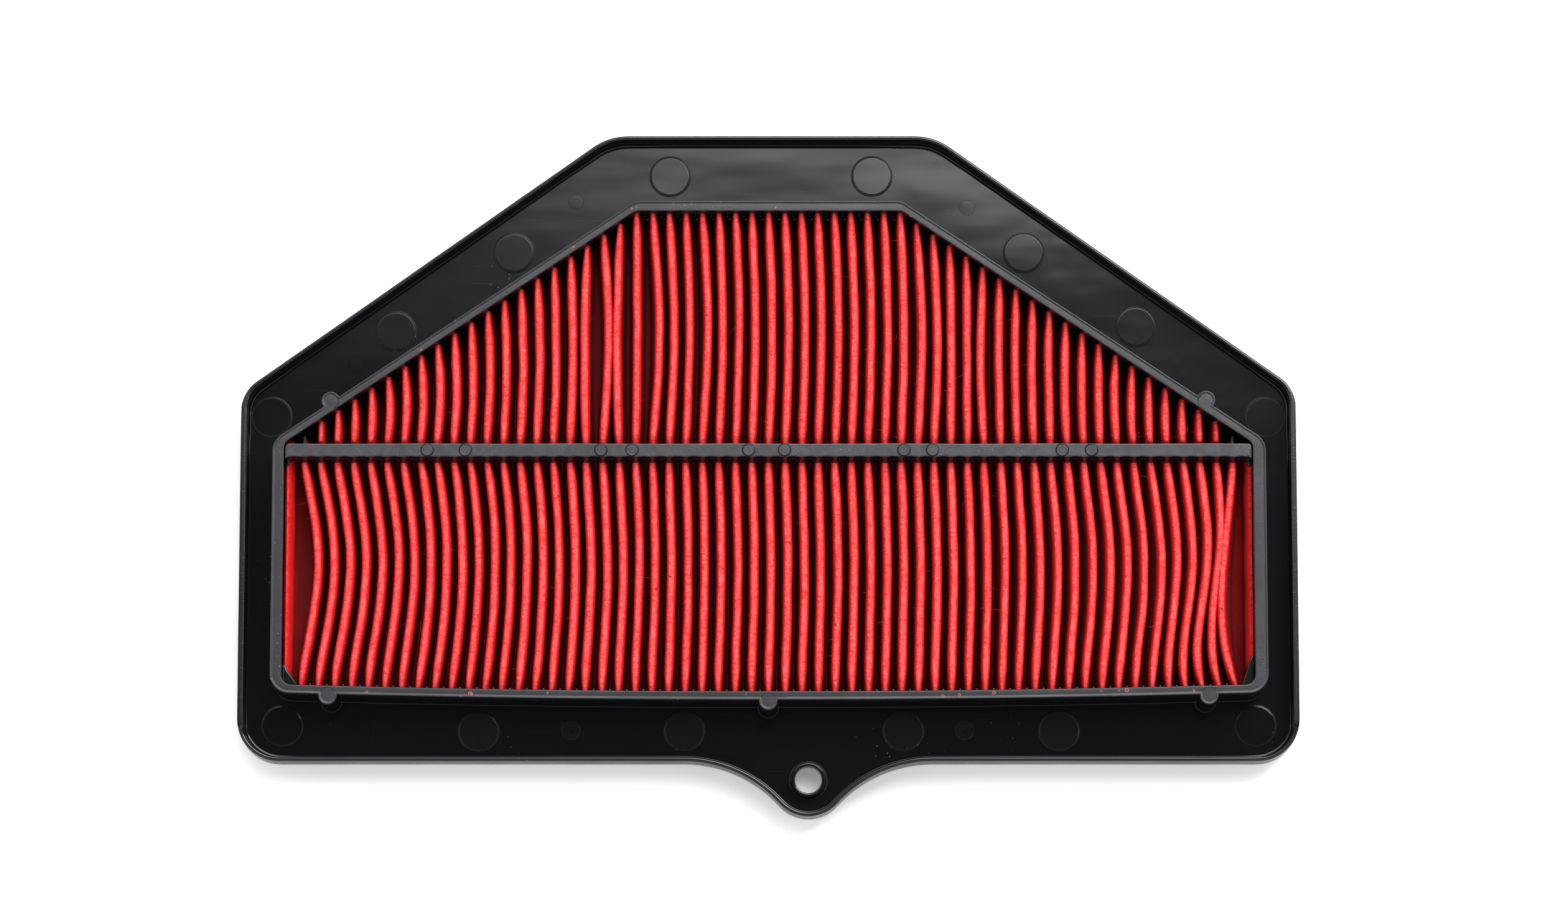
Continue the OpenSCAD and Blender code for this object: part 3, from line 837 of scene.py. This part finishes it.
frameMarks = {
    "rings": [  # x, y, start and end of the bright part of each ejector ring
        (-27.3, 84.1, 200, 330), (28.6, 84.2, 190, 350), (-70.5, 62.6, 150, 400), (70.6, 62.6, 160, 380),
        (-103.0, 40.5, 140, 330), (101.5, 41.8, 100, 290), (-137.0, 16.5, 250, 420), (137.0, 16.5, 120, 300),
        (-133.0, -69.1, 0, 150), (133.3, -69.1, 30, 190), (-79.3, -70.6, 20, 170), (-23.0, -70.4, 10, 160),
        (36.9, -70.4, 20, 170), (79.5, -70.4, 30, 190),
    ],
    "radius": 5.35,
    "height": 0.06,
    "lipWidth": 0.26,
    "lipHeight": 0.028,
    "outlineWidth": 0.46,
    "spread": 0.22,  # how far the dull outline lies outside the disc
    "gateRadius": 2.6,
    "gateHeight": 0.012,
    "seed": 5,
    "domes": [(-53.4, 76.9), (55, 75.3), (-113.8, 31.2), (112.5, 31.2)],
    "gates": [(-54.1, -70.4), (53.6, -70.4)],
    "seatLip": (2.15, 0.2, 0.015),  # radius, width and height, mm
    "creases": [(-108.0, -66.5, -74.5), (-4.2, -66.5, -77.0), (-23.5, -66.0, -67.8), (102.0, -66.3, -70.0)],
}


def addEjectorMark(shell, x, y, start, end):
    top, radius = tray["flangeTop"], frameMarks["radius"]
    atRear, atEnd = y > 0, abs(x) > 120
    lip = "padEdge" if atRear and abs(x) > 40 else None
    addLip(shell, x, y, top, radius + 0.06, frameMarks["lipWidth"], frameMarks["lipHeight"], start, end, lip)
    heading = math.radians((start + end) / 2 + random.uniform(-40, 40))
    tilt = (heading, random.uniform(0.001, 0.0028))
    height = frameMarks["height"] * (1 if not atEnd else 0.2 if atRear else 0.5)
    # the front discs get the lighter copy: a painted reflection
    finish = None if atRear or atEnd else "pad"
    addPad(shell, x, y, radius, height, tilt, finish, "padEdge" if atRear else finish)
    addCircle(shell, x, y, top + 0.012, radius + frameMarks["spread"], frameMarks["outlineWidth"])


def addMarks(shell):
    random.seed(frameMarks["seed"])
    for x, y, start, end in frameMarks["rings"]:
        addEjectorMark(shell, x, y, start, end)
    for x, y in frameMarks["domes"]:
        addDome(shell, x, y, 4.8, 0.007)
    for x, y in frameMarks["gates"]:  # a small disc with the stub in it
        gate = (frameMarks["gateRadius"], frameMarks["gateHeight"])
        addPad(shell, x, y, *gate, (1.0, 0.003), "pad", "padEdge")
        addDome(shell, x + 0.3, y - 0.2, 1.5, 0.03)
    for crease in frameMarks["creases"]:
        addCrease(shell, *crease)
    seats = [(x, wall["intercept"] - wall["slope"] * abs(x)) for x in (-wall["seatX"], wall["seatX"])]
    for x in (-wall["seatX"], 0, wall["seatX"]):
        reach = wall["halfWidth"] - wall["radius"]
        seats.append((x, wall["front"] - wall["bow"] * (1 - (x / reach) ** 2)))
    low = tray["wallTop"] - frameLook["stripDrop"]
    for x, y in seats:
        inward = math.degrees(math.atan2(-y, -x)) if y > 0 else 90
        addLip(shell, x, y, low, *frameMarks["seatLip"], inward - 70, inward + 70, "padEdge")


shell = buildFrame()
addMarks(shell)
shell.build("trayFrame", "frame_plastic", ["flange_frame"])
print("frame:", len(shell.faces), "faces")


felt = {
    "count": 57,
    "firstX": -127.0,
    "pitch": 127.0 * 2 / 56,
    "tip": 18.3,
    "barTip": 17.4,  # under the cross bar
    "foot": 5.0,
    "thickness": 1.05,
    "pinched": 0.62,  # thickness where the combs squeeze it
    "tipHalf": 0.62,  # half width of a fold's middle line at its tip
    "pinchHalf": 0.33,
    "valleyHalf": 0.80,
    "rows": 27,  # in each bay
    "flapX": 131.5,
    "barFront": 3.1,
    "barRear": 6.3,
    "follow": (1.0, 0.55),  # share of a tip's bow that its valleys follow, on the left and elsewhere
    # the last folds lean: how far, and how late between the bar and the front wall
    "leans": {53: (0.8, 2.6), 54: (1.4, 2.6), 55: (2.4, 2.4), 56: (3.6, 1.7), 57: (6.3, 1.2)},
    "strayBows": {  # folds behind the bar that were pressed out of line, mm
        18: -0.5, 19: 1.5, 20: -0.7, 21: 0.35, 22: 1.9, 23: 1.35,
        25: 1.5, 38: 1.3, 39: 1.1, 41: 0.0, 42: -0.8,
    },
    # the sheet's turned up ends: how far outside flapX, and at what height
    "flapLeft": [(0.2, 17.3), (-0.3, 16.95), (-1.25, 15.4), (-1.55, 12.6), (-1.1, 9.5)],
    "flapRight": [(0.15, 17.2), (-0.1, 16.7), (-0.7, 14.8), (-0.95, 12.0), (-0.75, 9.5)],
    "seed": 11,
}
random.seed(felt["seed"])
growth = [random.uniform(-1, 1) for _ in range(felt["count"])]  # how much fatter or thinner each fold is
nudge = [random.uniform(-1, 1) for _ in range(felt["count"])]  # how far each one is pushed aside


def frontAt(x):  # the room's front and rear walls at x
    reach = room["halfWidth"] - room["radius"]
    return room["front"] - wall["bow"] * (1 - min(abs(x) / reach, 1) ** 2)


def rearAt(x):
    return min(room["rear"], room["intercept"] - wall["slope"] * abs(x))


def ridgeX(i):
    return felt["firstX"] + felt["pitch"] * i


def gapX(i):  # where the comb teeth stand, between ridge i and the next one
    return ridgeX(i) + felt["pitch"] / 2


def bowFront(i, s):  # sideways bow of ridge i between the bar (s=0) and the front wall (s=1), mm
    left = max(4.35 - 0.155 * i, 0.75)
    right = 2.2 * smooth(40, 52, i)
    body = (left + right) * math.sin(math.pi * s**0.92) ** (1.0 if 7 < i < 18 else 1.45)
    size, late = felt["leans"].get(i, (0, 1))
    return body - size * math.sin(math.pi * s**late)


def bowRear(i, s):  # the same between the bar (s=0) and the rear wall (s=1)
    size = felt["strayBows"].get(i, 0.75 if i < 18 else mix(1.0, -0.45, smooth(36, 44, i)))
    return size * math.sin(math.pi * s) ** 1.1


def along(x, row, z):  # where a row crosses the lane at x; the lower part stops short of the comb strips
    rows = felt["rows"]
    clear = 0.1 + 0.85 * smooth(13.6, 12.4, z)
    if row <= rows:
        s = 1 - row / rows
        s = 0.5 - 0.5 * math.sin(math.pi * (0.5 - s)) * 0.35 - (0.5 - s) * 0.65  # rows crowd at both ends
        return mix(felt["barFront"], frontAt(x) + clear, s), s, True
    s = (row - rows - 1) / rows
    s = 0.5 + 0.5 * math.sin(math.pi * (s - 0.5)) * 0.35 + (s - 0.5) * 0.65
    rear = max(rearAt(x) - clear * 1.2, felt["barRear"] + 0.3)
    return mix(felt["barRear"], rear, s), s, False


def foldState(i, row):  # sideways place, half width at the tip, thickness and tip height of fold i
    x = ridgeX(i)
    y, s, inFront = along(x, row, 17)
    span = felt["barFront"] - frontAt(x) if inFront else rearAt(x) - felt["barRear"]
    shift = bowFront(i + 1, s) if inFront else bowRear(i + 1, s) * smooth(4, 26, span)
    toBar, toWall = s * span, (1 - s) * span
    slanted = not inFront and abs(x) > wall["rearHalf"]
    open_ = smooth(-3.0, 8.0, toBar) * smooth(-1.5, 11 if slanted else 8, toWall)
    wave = noise.noise(Vector((y / 11, i * 7.3, 1.7)))
    ripple = noise.noise(Vector((y / 4.2, i * 5.1, 8.2)))
    shift += (0.16 * wave + 0.07 * ripple + 0.08 * nudge[i]) * (0.35 + 0.65 * open_)
    fat = 1 + 0.09 * growth[i] + 0.10 * noise.noise(Vector((y / 8, i * 3.7, 4.4)))
    half = mix(felt["pinchHalf"], felt["tipHalf"] * fat, open_)
    thick = mix(felt["pinched"], felt["thickness"], min(open_ * 1.6, 1))
    drop = (felt["tip"] - felt["barTip"] + 0.4) * (1 - smooth(0.2, 1.7, toBar))
    drop += 0.5 * (1 - smooth(0, 1.2, toWall))
    if not inFront and not slanted:
        drop -= 0.8 * (1 - smooth(0.5, 4.5, toWall))
    if not inFront and i in (0, felt["count"] - 1):
        drop += 7 * s  # the end folds fall away behind the bar
    top = felt["tip"] - drop - 0.10 - 0.10 * noise.noise(Vector((y / 14, i * 2.9, 6.6)))
    return x, shift, half, thick, top


def section(row):  # middle line of the folded sheet across one row: (x, z, thickness)
    out = []
    folds = [foldState(i, row) for i in range(felt["count"])]
    base = felt["foot"] + felt["thickness"] / 2 + 0.05
    half = felt["valleyHalf"]

    def valley(xa, xb):
        r = (xb - xa) / 2
        depth = min(r, 1.0)
        for k in range(5):
            a = math.pi * k / 4
            out.append(((xa + xb) / 2 - r * math.cos(a), base + depth * (1 - math.sin(a)), felt["thickness"]))

    def flank(xa, za, xb, zb, ta, tb):
        for k in (0.25, 0.5, 0.75):
            out.append((mix(xa, xb, smooth(0, 1, k)), mix(za, zb, k), mix(ta, tb, k)))

    def flap(side):
        lean = 0.25 * noise.noise(Vector((row * 0.3, side, 2)))
        line = []
        for k, (inset, z) in enumerate(felt["flapLeft" if side < 0 else "flapRight"]):
            x = felt["flapX"] + inset - (lean if k in (2, 3) else 0)
            line.append((side * x, z, mix(0.85, felt["thickness"], k / 4)))
        out.extend(line if side < 0 else line[::-1])

    flap(-1)
    inner = -felt["flapX"] + 0.55
    for i, (x, shift, tipHalf, thick, top) in enumerate(folds):
        footShift = shift * mix(*felt["follow"], smooth(14, 26, i))
        left = x + footShift - felt["pitch"] / 2 + half
        right = x + footShift + felt["pitch"] / 2 - half
        valley(inner, left)
        centre = x + shift
        high = max(tipHalf, 0.55)
        neck = top - thick / 2 - high
        flank(left, base + 1, centre - tipHalf, neck, felt["thickness"], thick)
        for k in range(7):
            a = math.pi * k / 6
            out.append((centre - tipHalf * math.cos(a), neck + high * math.sin(a), thick))
        flank(centre + tipHalf, neck, right, base + 1, thick, felt["thickness"])
        inner = right
    valley(inner, felt["flapX"] - 0.55)
    flap(1)
    return out


def buildFelt():  # both faces of the sheet, row by row, with its cut edges, and how long and large it is
    points, faces = [], []
    rows = 2 * felt["rows"] + 2
    length, area = 0.0, 0.0
    previous = None
    for row in range(rows):
        line = section(row)
        count = len(line)
        upper, lower, middle = [], [], []
        for k, (x, z, thick) in enumerate(line):
            a, b = line[max(k - 1, 0)], line[min(k + 1, count - 1)]
            n = Vector((a[1] - b[1], b[0] - a[0])).normalized() * thick / 2
            y = along(x, row, z)[0]
            middle.append(Vector((x, y, z)))
            limit = room["halfWidth"] - 0.05
            for side, store in ((1, upper), (-1, lower)):
                store.append((min(max(x + side * n.x, -limit), limit), y, max(z + side * n.y, felt["foot"])))
        if previous:
            for k in range(count - 1):
                a, b, c, d = previous[k], previous[k + 1], middle[k + 1], middle[k]
                area += ((b - a).cross(c - a).length + (c - a).cross(d - a).length) / 2
        if row == felt["rows"] // 2:
            length = sum((middle[k + 1] - middle[k]).length for k in range(count - 1))
        previous = middle
        points += upper + lower
    wide = 2 * count
    for row in range(rows):
        u = row * wide
        w = u + count
        for k in range(count - 1):
            if row < rows - 1:
                faces.append((u + k, u + k + 1, u + wide + k + 1, u + wide + k))
                faces.append((w + k + 1, w + k, w + wide + k, w + wide + k + 1))
            if row == 0:
                faces.append((u + k + 1, u + k, w + k, w + k + 1))
            if row == rows - 1:
                faces.append((u + k, u + k + 1, w + k + 1, w + k))
        if row < rows - 1:
            faces.append((u, u + wide, w + wide, w))
            faces.append((u + wide + count - 1, u + count - 1, w + count - 1, w + wide + count - 1))
    mesh = bpy.data.meshes.new("pleatedFelt")
    mesh.from_pydata([Vector(p) * mm for p in points], [], faces)
    mesh.polygons.foreach_set("use_smooth", [True] * len(mesh.polygons))
    mesh.set_sharp_from_angle(angle=math.radians(60))
    mesh.update()
    piece = bpy.data.objects.new("pleatedFelt", mesh)
    bpy.context.scene.collection.objects.link(piece)
    return piece, length, area


def feltMaterial():
    material, t, shader = newMaterial("redFelt", (0.9, 0.02, 0.02), 0.92, Specular_IOR_Level=0.06)
    t.put(shader.inputs["Sheen Weight"], 0.02)
    t.put(shader.inputs["Sheen Roughness"], 0.4)
    t.put(shader.inputs["Sheen Tint"], (1.0, 0.3, 0.28, 1))
    fibre = useGroup(t, "felt", Tip_Height=felt["tip"] * mm)
    # painted highlight: paler salmon on the tips where they face up
    red = t.blend(fibre.outputs["Fluff"], (0.60, 0.0070, 0.0080, 1), (0.68, 0.066, 0.065, 1))
    light = t.math("MULTIPLY", t.span(fibre.outputs["Tangle"], 0.47, 0.66, 0.0, 0.42), fibre.outputs["Fluff"])
    red = t.blend(light, red, (0.74, 0.20, 0.19, 1))
    dark = t.span(fibre.outputs["Tangle"], 0.52, 0.34, 0.0, 0.50)
    red = t.blend(dark, red, (0.40, 0.004, 0.005, 1))
    # painted shade down the folds, lifted near the sheet's ends
    shade = t.math("MULTIPLY_ADD", fibre.outputs["Ends"], -0.30, 0.96)
    paintedShade = t.math("MULTIPLY", fibre.outputs["Painted Shade"], shade)
    red = t.blend(paintedShade, red, (0.172, 0.0165, 0.0165, 1))
    red = t.blend(t.span(fibre.outputs["Blotches"], 0.55, 0.75, 0.0, 0.18), red, (0.46, 0.012, 0.012, 1))
    red = t.blend(t.math("MULTIPLY", fibre.outputs["Specks"], 0.75), red, (0.16, 0.012, 0.012, 1))
    t.put(shader.inputs["Base Color"], red)
    bump(t, shader, fibre.outputs["Height"], 1.0, 0.00028)
    return material


def addHair(shell, path, radius):  # a thin three-sided tube that tapers along its path
    rings = []
    last = len(path) - 1
    for k, p in enumerate(path):
        r = radius * (1 - 0.6 * k / last)
        ahead = (path[min(k + 1, last)] - path[max(k - 1, 0)]).normalized()
        a = ahead.orthogonal().normalized()
        b = ahead.cross(a)
        base = len(shell.points)
        for q in range(3):
            w = 2 * math.pi * q / 3
            shell.points.append(tuple(p + (a * math.cos(w) + b * math.sin(w)) * r))
        rings.append(list(range(base, base + 3)))
    for a, b in zip(rings, rings[1:]):
        shell.band(a, b)
    shell.face(rings[0][::-1], rounded=False)
    shell.face(rings[last], rounded=False)


looseFibres = {
    "count": 420,
    "crumbs": 16,
    "highest": 19.2,  # mm, below the wall's top
    "parts": 6,
}


def buildFibres():  # loose fibres standing off the tips and lying across the gaps
    shell = Shell("fibre")
    random.seed(felt["seed"] + 4)
    parts, barMiddle = looseFibres["parts"], (felt["barFront"] + felt["barRear"]) / 2
    made = 0
    while made < looseFibres["count"]:
        i = random.randrange(felt["count"])
        row = random.randrange(3, 2 * felt["rows"] - 2)
        x, shift, half, thick, top = foldState(i, row)
        y = along(x, row, 17)[0] + random.uniform(-1, 1)
        side = random.choice((-1, 1))
        edge = x + shift + side * (half + thick / 2) * random.uniform(0.3, 0.95)
        if abs(y - barMiddle) < 3.2 or y > rearAt(edge) - 1.5:
            continue
        start = Vector((edge, y, top - random.uniform(0.05, 0.8)))
        size = random.uniform(0.5, 2.2) if made % 9 else random.uniform(2.5, 5.0)
        heading = random.uniform(-1.3, 1.3)
        rise = random.uniform(-0.25, 0.35)
        step = Vector((side * math.cos(heading), math.sin(heading), rise)) * size / parts
        curl = random.uniform(-0.35, 0.35)
        path = [start]
        for _ in range(parts):
            step = Vector((*turned(step, curl), step.z - 0.03 * size))
            path.append(path[-1] + step)
        if max(p.z for p in path) > looseFibres["highest"]:
            continue
        addHair(shell, path, random.uniform(0.012, 0.022))
        made += 1
    onStrip = tray["wallTop"] - 0.06
    for k in range(looseFibres["crumbs"]):  # crumbs of felt caught on the strip
        x = random.uniform(-118, 122)
        y = frontAt(x) - random.uniform(0.5, 1.7) if k % 4 else rearAt(x) + random.uniform(0.8, 1.6)
        radius, start, end = random.uniform(0.15, 0.5), random.uniform(0, 360), random.uniform(420, 600)
        addLip(shell, x, y, onStrip, radius, 0.16, 0.06, start, end)
    return shell.build("looseFibres", "filter_media")


materials["felt"] = feltMaterial()
materials["fibre"] = newMaterial("looseFibre", (0.7, 0.13, 0.12), 0.7, Specular_IOR_Level=0.3)[0]
pleats, cutLength, cutArea = buildFelt()
pleats.data.materials.append(materials["felt"])
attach(pleats, "root")
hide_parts("pleated_media")
fibres = buildFibres()


bar = {
    "front": 2.35,
    "rear": 6.65,
    "foot": 17.5,
    "top": 20.94,
    "end": 131.9,
    "scallop": 0.7,
    "lean": 0.66,
    "waveLean": 0.82,
    "edge": 0.2,
    "toothWidth": 0.8,
    "toothFoot": 11.4,
    "toothTop": 17.6,
    "backSteps": 41,
    "backStep": 6.2,
    "marks": [-93.1, -82.7, -45.7, -37.2, -5.4, 4.4, 37.0, 44.8, 80.2, 88.2],
    "markRadius": 1.68,
    "markOffset": 0.32,
}


def outline(points):  # stations of a closed anticlockwise line, with mitred normals
    out = []
    for i, p in enumerate(points):
        u, v = (p - points[i - 1]).normalized(), (points[(i + 1) % len(points)] - p).normalized()
        a, b = Vector((u.y, -u.x)), Vector((v.y, -v.x))
        out.append((p, (a + b) / max(1 + a.dot(b), 0.3)))
    return out


def block(shell, line, foot, top, edge, finish=None):  # an upright prism with rounded top and bottom edges
    rows = [(edge + 0.12, foot)] + [(edge * (1 - s), foot + edge * (1 - c)) for s, c in quarter(3)]
    rows += [(edge * (1 - c), top - edge * (1 - s)) for s, c in quarter(3)] + [(edge + 0.12, top)]
    under, over = shell.loft(line, rows, finish)
    shell.fill([over], True, finish)
    shell.fill([under], False, finish)


def rectangle(x0, x1, y0, y1, radius=0.15):
    c = [Vector(p) for p in ((x0, y0), (x1, y0), (x1, y1), (x0, y1))]
    line = []
    for k in range(4):
        line += cornerArc(c[k - 1], c[k], c[(k + 1) % 4], radius, 3)
    return line


def barLine():  # scalloped along the front, rounded at the rear corners
    front = []
    for k in range(-8, 8 * (felt["count"] - 1) + 9):
        x = felt["firstX"] + felt["pitch"] * k / 8
        if abs(x) < bar["end"] - 0.4:
            wave = (1 + math.cos(2 * math.pi * k / 8)) / 2
            front.append(Vector((x, bar["front"] - bar["scallop"] * wave)))
    end, rear, step = bar["end"], bar["rear"], bar["backStep"]
    corner = [(end, bar["front"] + 0.1), (end, 5.5), (end - 0.12, 6.1), (end - 0.5, 6.5), (end - 1.1, rear)]
    right = [Vector(p) for p in corner]
    count = bar["backSteps"]
    back = [Vector((end - 1.1 - step * k, rear + 0.05 * math.sin(k * 0.9))) for k in range(1, count + 1)]
    left = [Vector((-p.x, p.y)) for p in right[::-1]]
    return outline(front + right + back + left)


def barRow(inset, height, lean):  # the scalloped front face leans back towards the top
    def row(p, n):
        front = smooth(-0.5, -0.9, n.y)
        turn = 2 * math.pi * (p.x - felt["firstX"]) / felt["pitch"]
        wave = bar["scallop"] * front * (1 + math.cos(turn)) / 2
        return inset + lean * (bar["lean"] * front + bar["waveLean"] * wave), height
    return row


def barBlock(shell, xs, ys, foot, top, edge, finish="comb", radius=0.15):
    x0, x1 = sorted(xs)
    block(shell, rectangle(x0, x1, *ys, radius), foot, top, edge, finish)


def buildBar():
    shell = Shell("bar", "comb", "padEdge")
    foot, top, e = bar["foot"], bar["top"], bar["edge"]
    rows = [barRow(0.5, foot, 0), barRow(0.15, foot, 0), barRow(0.0, foot + 0.15, 0)]
    rows += [barRow(0.03, foot + 1.2, 0.25), barRow(0.06, top - e, 1)]
    rows += [barRow(0.06 + e * (1 - c), top - e * (1 - s), 1) for s, c in quarter(4)][1:]
    rows += [barRow(0.26 + e, top, 1)]
    bright = 4  # the last spans, round the top edge
    under, over = shell.loft(barLine(), rows, ["comb"] * (len(rows) - 1 - bright) + [None] * bright)
    shell.fill([over], True)
    shell.fill([under], False, "comb")
    half, toothTop = bar["toothWidth"] / 2, bar["toothTop"]
    for i in range(felt["count"] - 1):
        x = gapX(i)
        ys = (bar["front"] + 0.45, bar["rear"] - 0.1)
        barBlock(shell, (x - half, x + half), ys, bar["toothFoot"], toothTop, 0.15)
    for side in (-1, 1):  # a peg in the wall, a small wedge in front of it and a tooth behind
        barBlock(shell, (side * 130.4, side * 133.0), (3.6, 5.8), 15.5, toothTop, 0.2)
        barBlock(shell, (side * 131.9, side * 130.9), (0.9, 2.9), 15.0, 18.6, 0.3, radius=0.3)
        barBlock(shell, (side * 126.6, side * 127.3), (6.7, 9.2), 12.0, 17.4, 0.2, None, 0.2)
    y = (bar["front"] + bar["rear"]) / 2 + bar["markOffset"]
    for x in bar["marks"]:
        addCircle(shell, x, y, top + 0.012, bar["markRadius"], 0.42)
        start = x * 7 % 360
        addLip(shell, x, y, top, bar["markRadius"] - 0.22, 0.2, 0.045, start, start + 200)
    return shell.build("crossBar", "bar_plastic", ["cross_bar"])


buildBar()
print("cross bar")


comb = {
    "strip": 0.8,
    "stripTop": 12.4,
    "stripEnd": 130.4,
    "toothFoot": 11.4,
    "toothTop": 16.6,
    "slantToothTop": 13.2,
    "reach": 0.75,
    "webWidth": (3.9, 3.2),  # left, right
    "webLength": (5.6, 8.2),
    "webTop": 17.8,
}


def combStrip(shell, inReach):  # the thin strip that follows the wall where inReach says so
    line = [(p, n) for p, n in bowedLine(room, room["radius"], 4) if inReach(p)]
    t, foot, top = comb["strip"], felt["foot"], comb["stripTop"]
    rows = [(0.06, foot), (0.06, top - 0.1), (0.2, top), (t - 0.15, top)]
    rows += [(t, top - 0.15), (t, foot), (0.06, foot)]
    rings = [shell.ring(line, row) for row in rows]
    for a, b in zip(rings, rings[1:]):
        shell.band(b, a, closed=False)
    shell.face([ring[0] for ring in rings[:-1]], rounded=False)
    shell.face([ring[-1] for ring in rings[:-1]][::-1], rounded=False)


def combTooth(shell, x, y, inward, top):  # narrows from the wall to a rounded tip
    root, tip = y - inward * 0.05, y + inward * (comb["strip"] * 0.2 + comb["reach"])
    half, shoulder = 0.45, mix(root, tip, 0.7)
    profile = [(-1, root), (-0.7, shoulder), (-0.3, tip), (0.3, tip), (0.7, shoulder), (1, root)]
    line = [Vector((x + part * half, at)) for part, at in profile]
    if inward > 0:
        line.reverse()
    block(shell, outline(line), comb["toothFoot"], top, 0.12)


def combWeb(shell, side):  # rounded web across a front corner
    x, y = side * (room["halfWidth"] - 0.05), room["front"] + 0.12
    width, length = comb["webWidth"][side > 0], comb["webLength"][side > 0]
    profile = [(0, -0.6), (0, length), (0.9, length), (1.25, length - 1.4), (width, 0.7), (width, -0.6)]
    line = [Vector((x - side * across, y + up)) for across, up in profile]
    if side < 0:
        line.reverse()
    block(shell, outline(line), felt["foot"] + 0.05, comb["webTop"], 0.35)


def buildFrontComb():
    shell = Shell("comb")
    combStrip(shell, lambda p: p.y < room["front"] + 2.5 and abs(p.x) < comb["stripEnd"])
    for side in (-1, 1):
        combWeb(shell, side)
    for i in range(felt["count"] - 1):
        x = gapX(i)
        combTooth(shell, x, frontAt(x), 1, comb["toothTop"])
    shell.build("frontComb", "comb_plastic", ["front_comb"])


def buildRearComb():
    shell = Shell("comb")
    combStrip(shell, lambda p: p.y > bar["rear"] + 2.2 and abs(p.x) < comb["stripEnd"])
    for i in range(felt["count"] - 1):
        x = gapX(i)
        flat = abs(x) < wall["rearHalf"] - 2
        combTooth(shell, x, rearAt(x), -1, comb["toothTop"] if flat else comb["slantToothTop"])
    shell.build("rearComb", "comb_plastic", ["rear_comb"])


buildFrontComb()
buildRearComb()
print("combs")


def resinMaterial():  # cast amber adhesive
    material, t, shader = newMaterial("sealingResin", (0.62, 0.50, 0.26), 0.28, IOR=1.5)
    t.put(shader.inputs["Subsurface Weight"], 0.15)
    t.put(shader.inputs["Subsurface Radius"], (0.002, 0.001, 0.0005))
    flow = useGroup(t, "grain", Grain_Size=420.0, Patch_Size=90.0)
    tone = t.blend(flow.outputs["Patches"], (0.52, 0.40, 0.18, 1), (0.72, 0.62, 0.36, 1))
    t.put(shader.inputs["Base Color"], tone)
    bump(t, shader, flow.outputs["Patches"], 0.6, 0.0006)
    return material


def rubberMaterial():  # closed-cell foam
    material, t, shader = newMaterial("foamRubber", (0.030, 0.030, 0.031), 0.75, Specular_IOR_Level=0.35)
    cells = useGroup(t, "grain", Grain_Size=1500.0, Patch_Size=260.0)
    tone = t.blend(cells.outputs["Height"], (0.012, 0.012, 0.013, 1), (0.055, 0.055, 0.056, 1))
    t.put(shader.inputs["Base Color"], tone)
    bump(t, shader, cells.outputs["Height"], 1.0, 0.00012)
    return material


materials["resin"] = resinMaterial()
materials["rubber"] = rubberMaterial()


def finishCadPiece(node, finish):  # a hidden piece keeps its CAD shape and gets its own material
    piece = next(item for item in bpy.data.objects if item.type == "MESH" and item.name.split(".")[0] == node)
    if not piece.material_slots:
        piece.data.materials.append(materials[finish])
    for slot in piece.material_slots:
        slot.material = materials[finish]


finishCadPiece("adhesive_bead", "resin")
finishCadPiece("support_grille", "grille")
finishCadPiece("sealing_gasket", "rubber")
print("finishes of the hidden pieces")

bpy.context.view_layer.update()
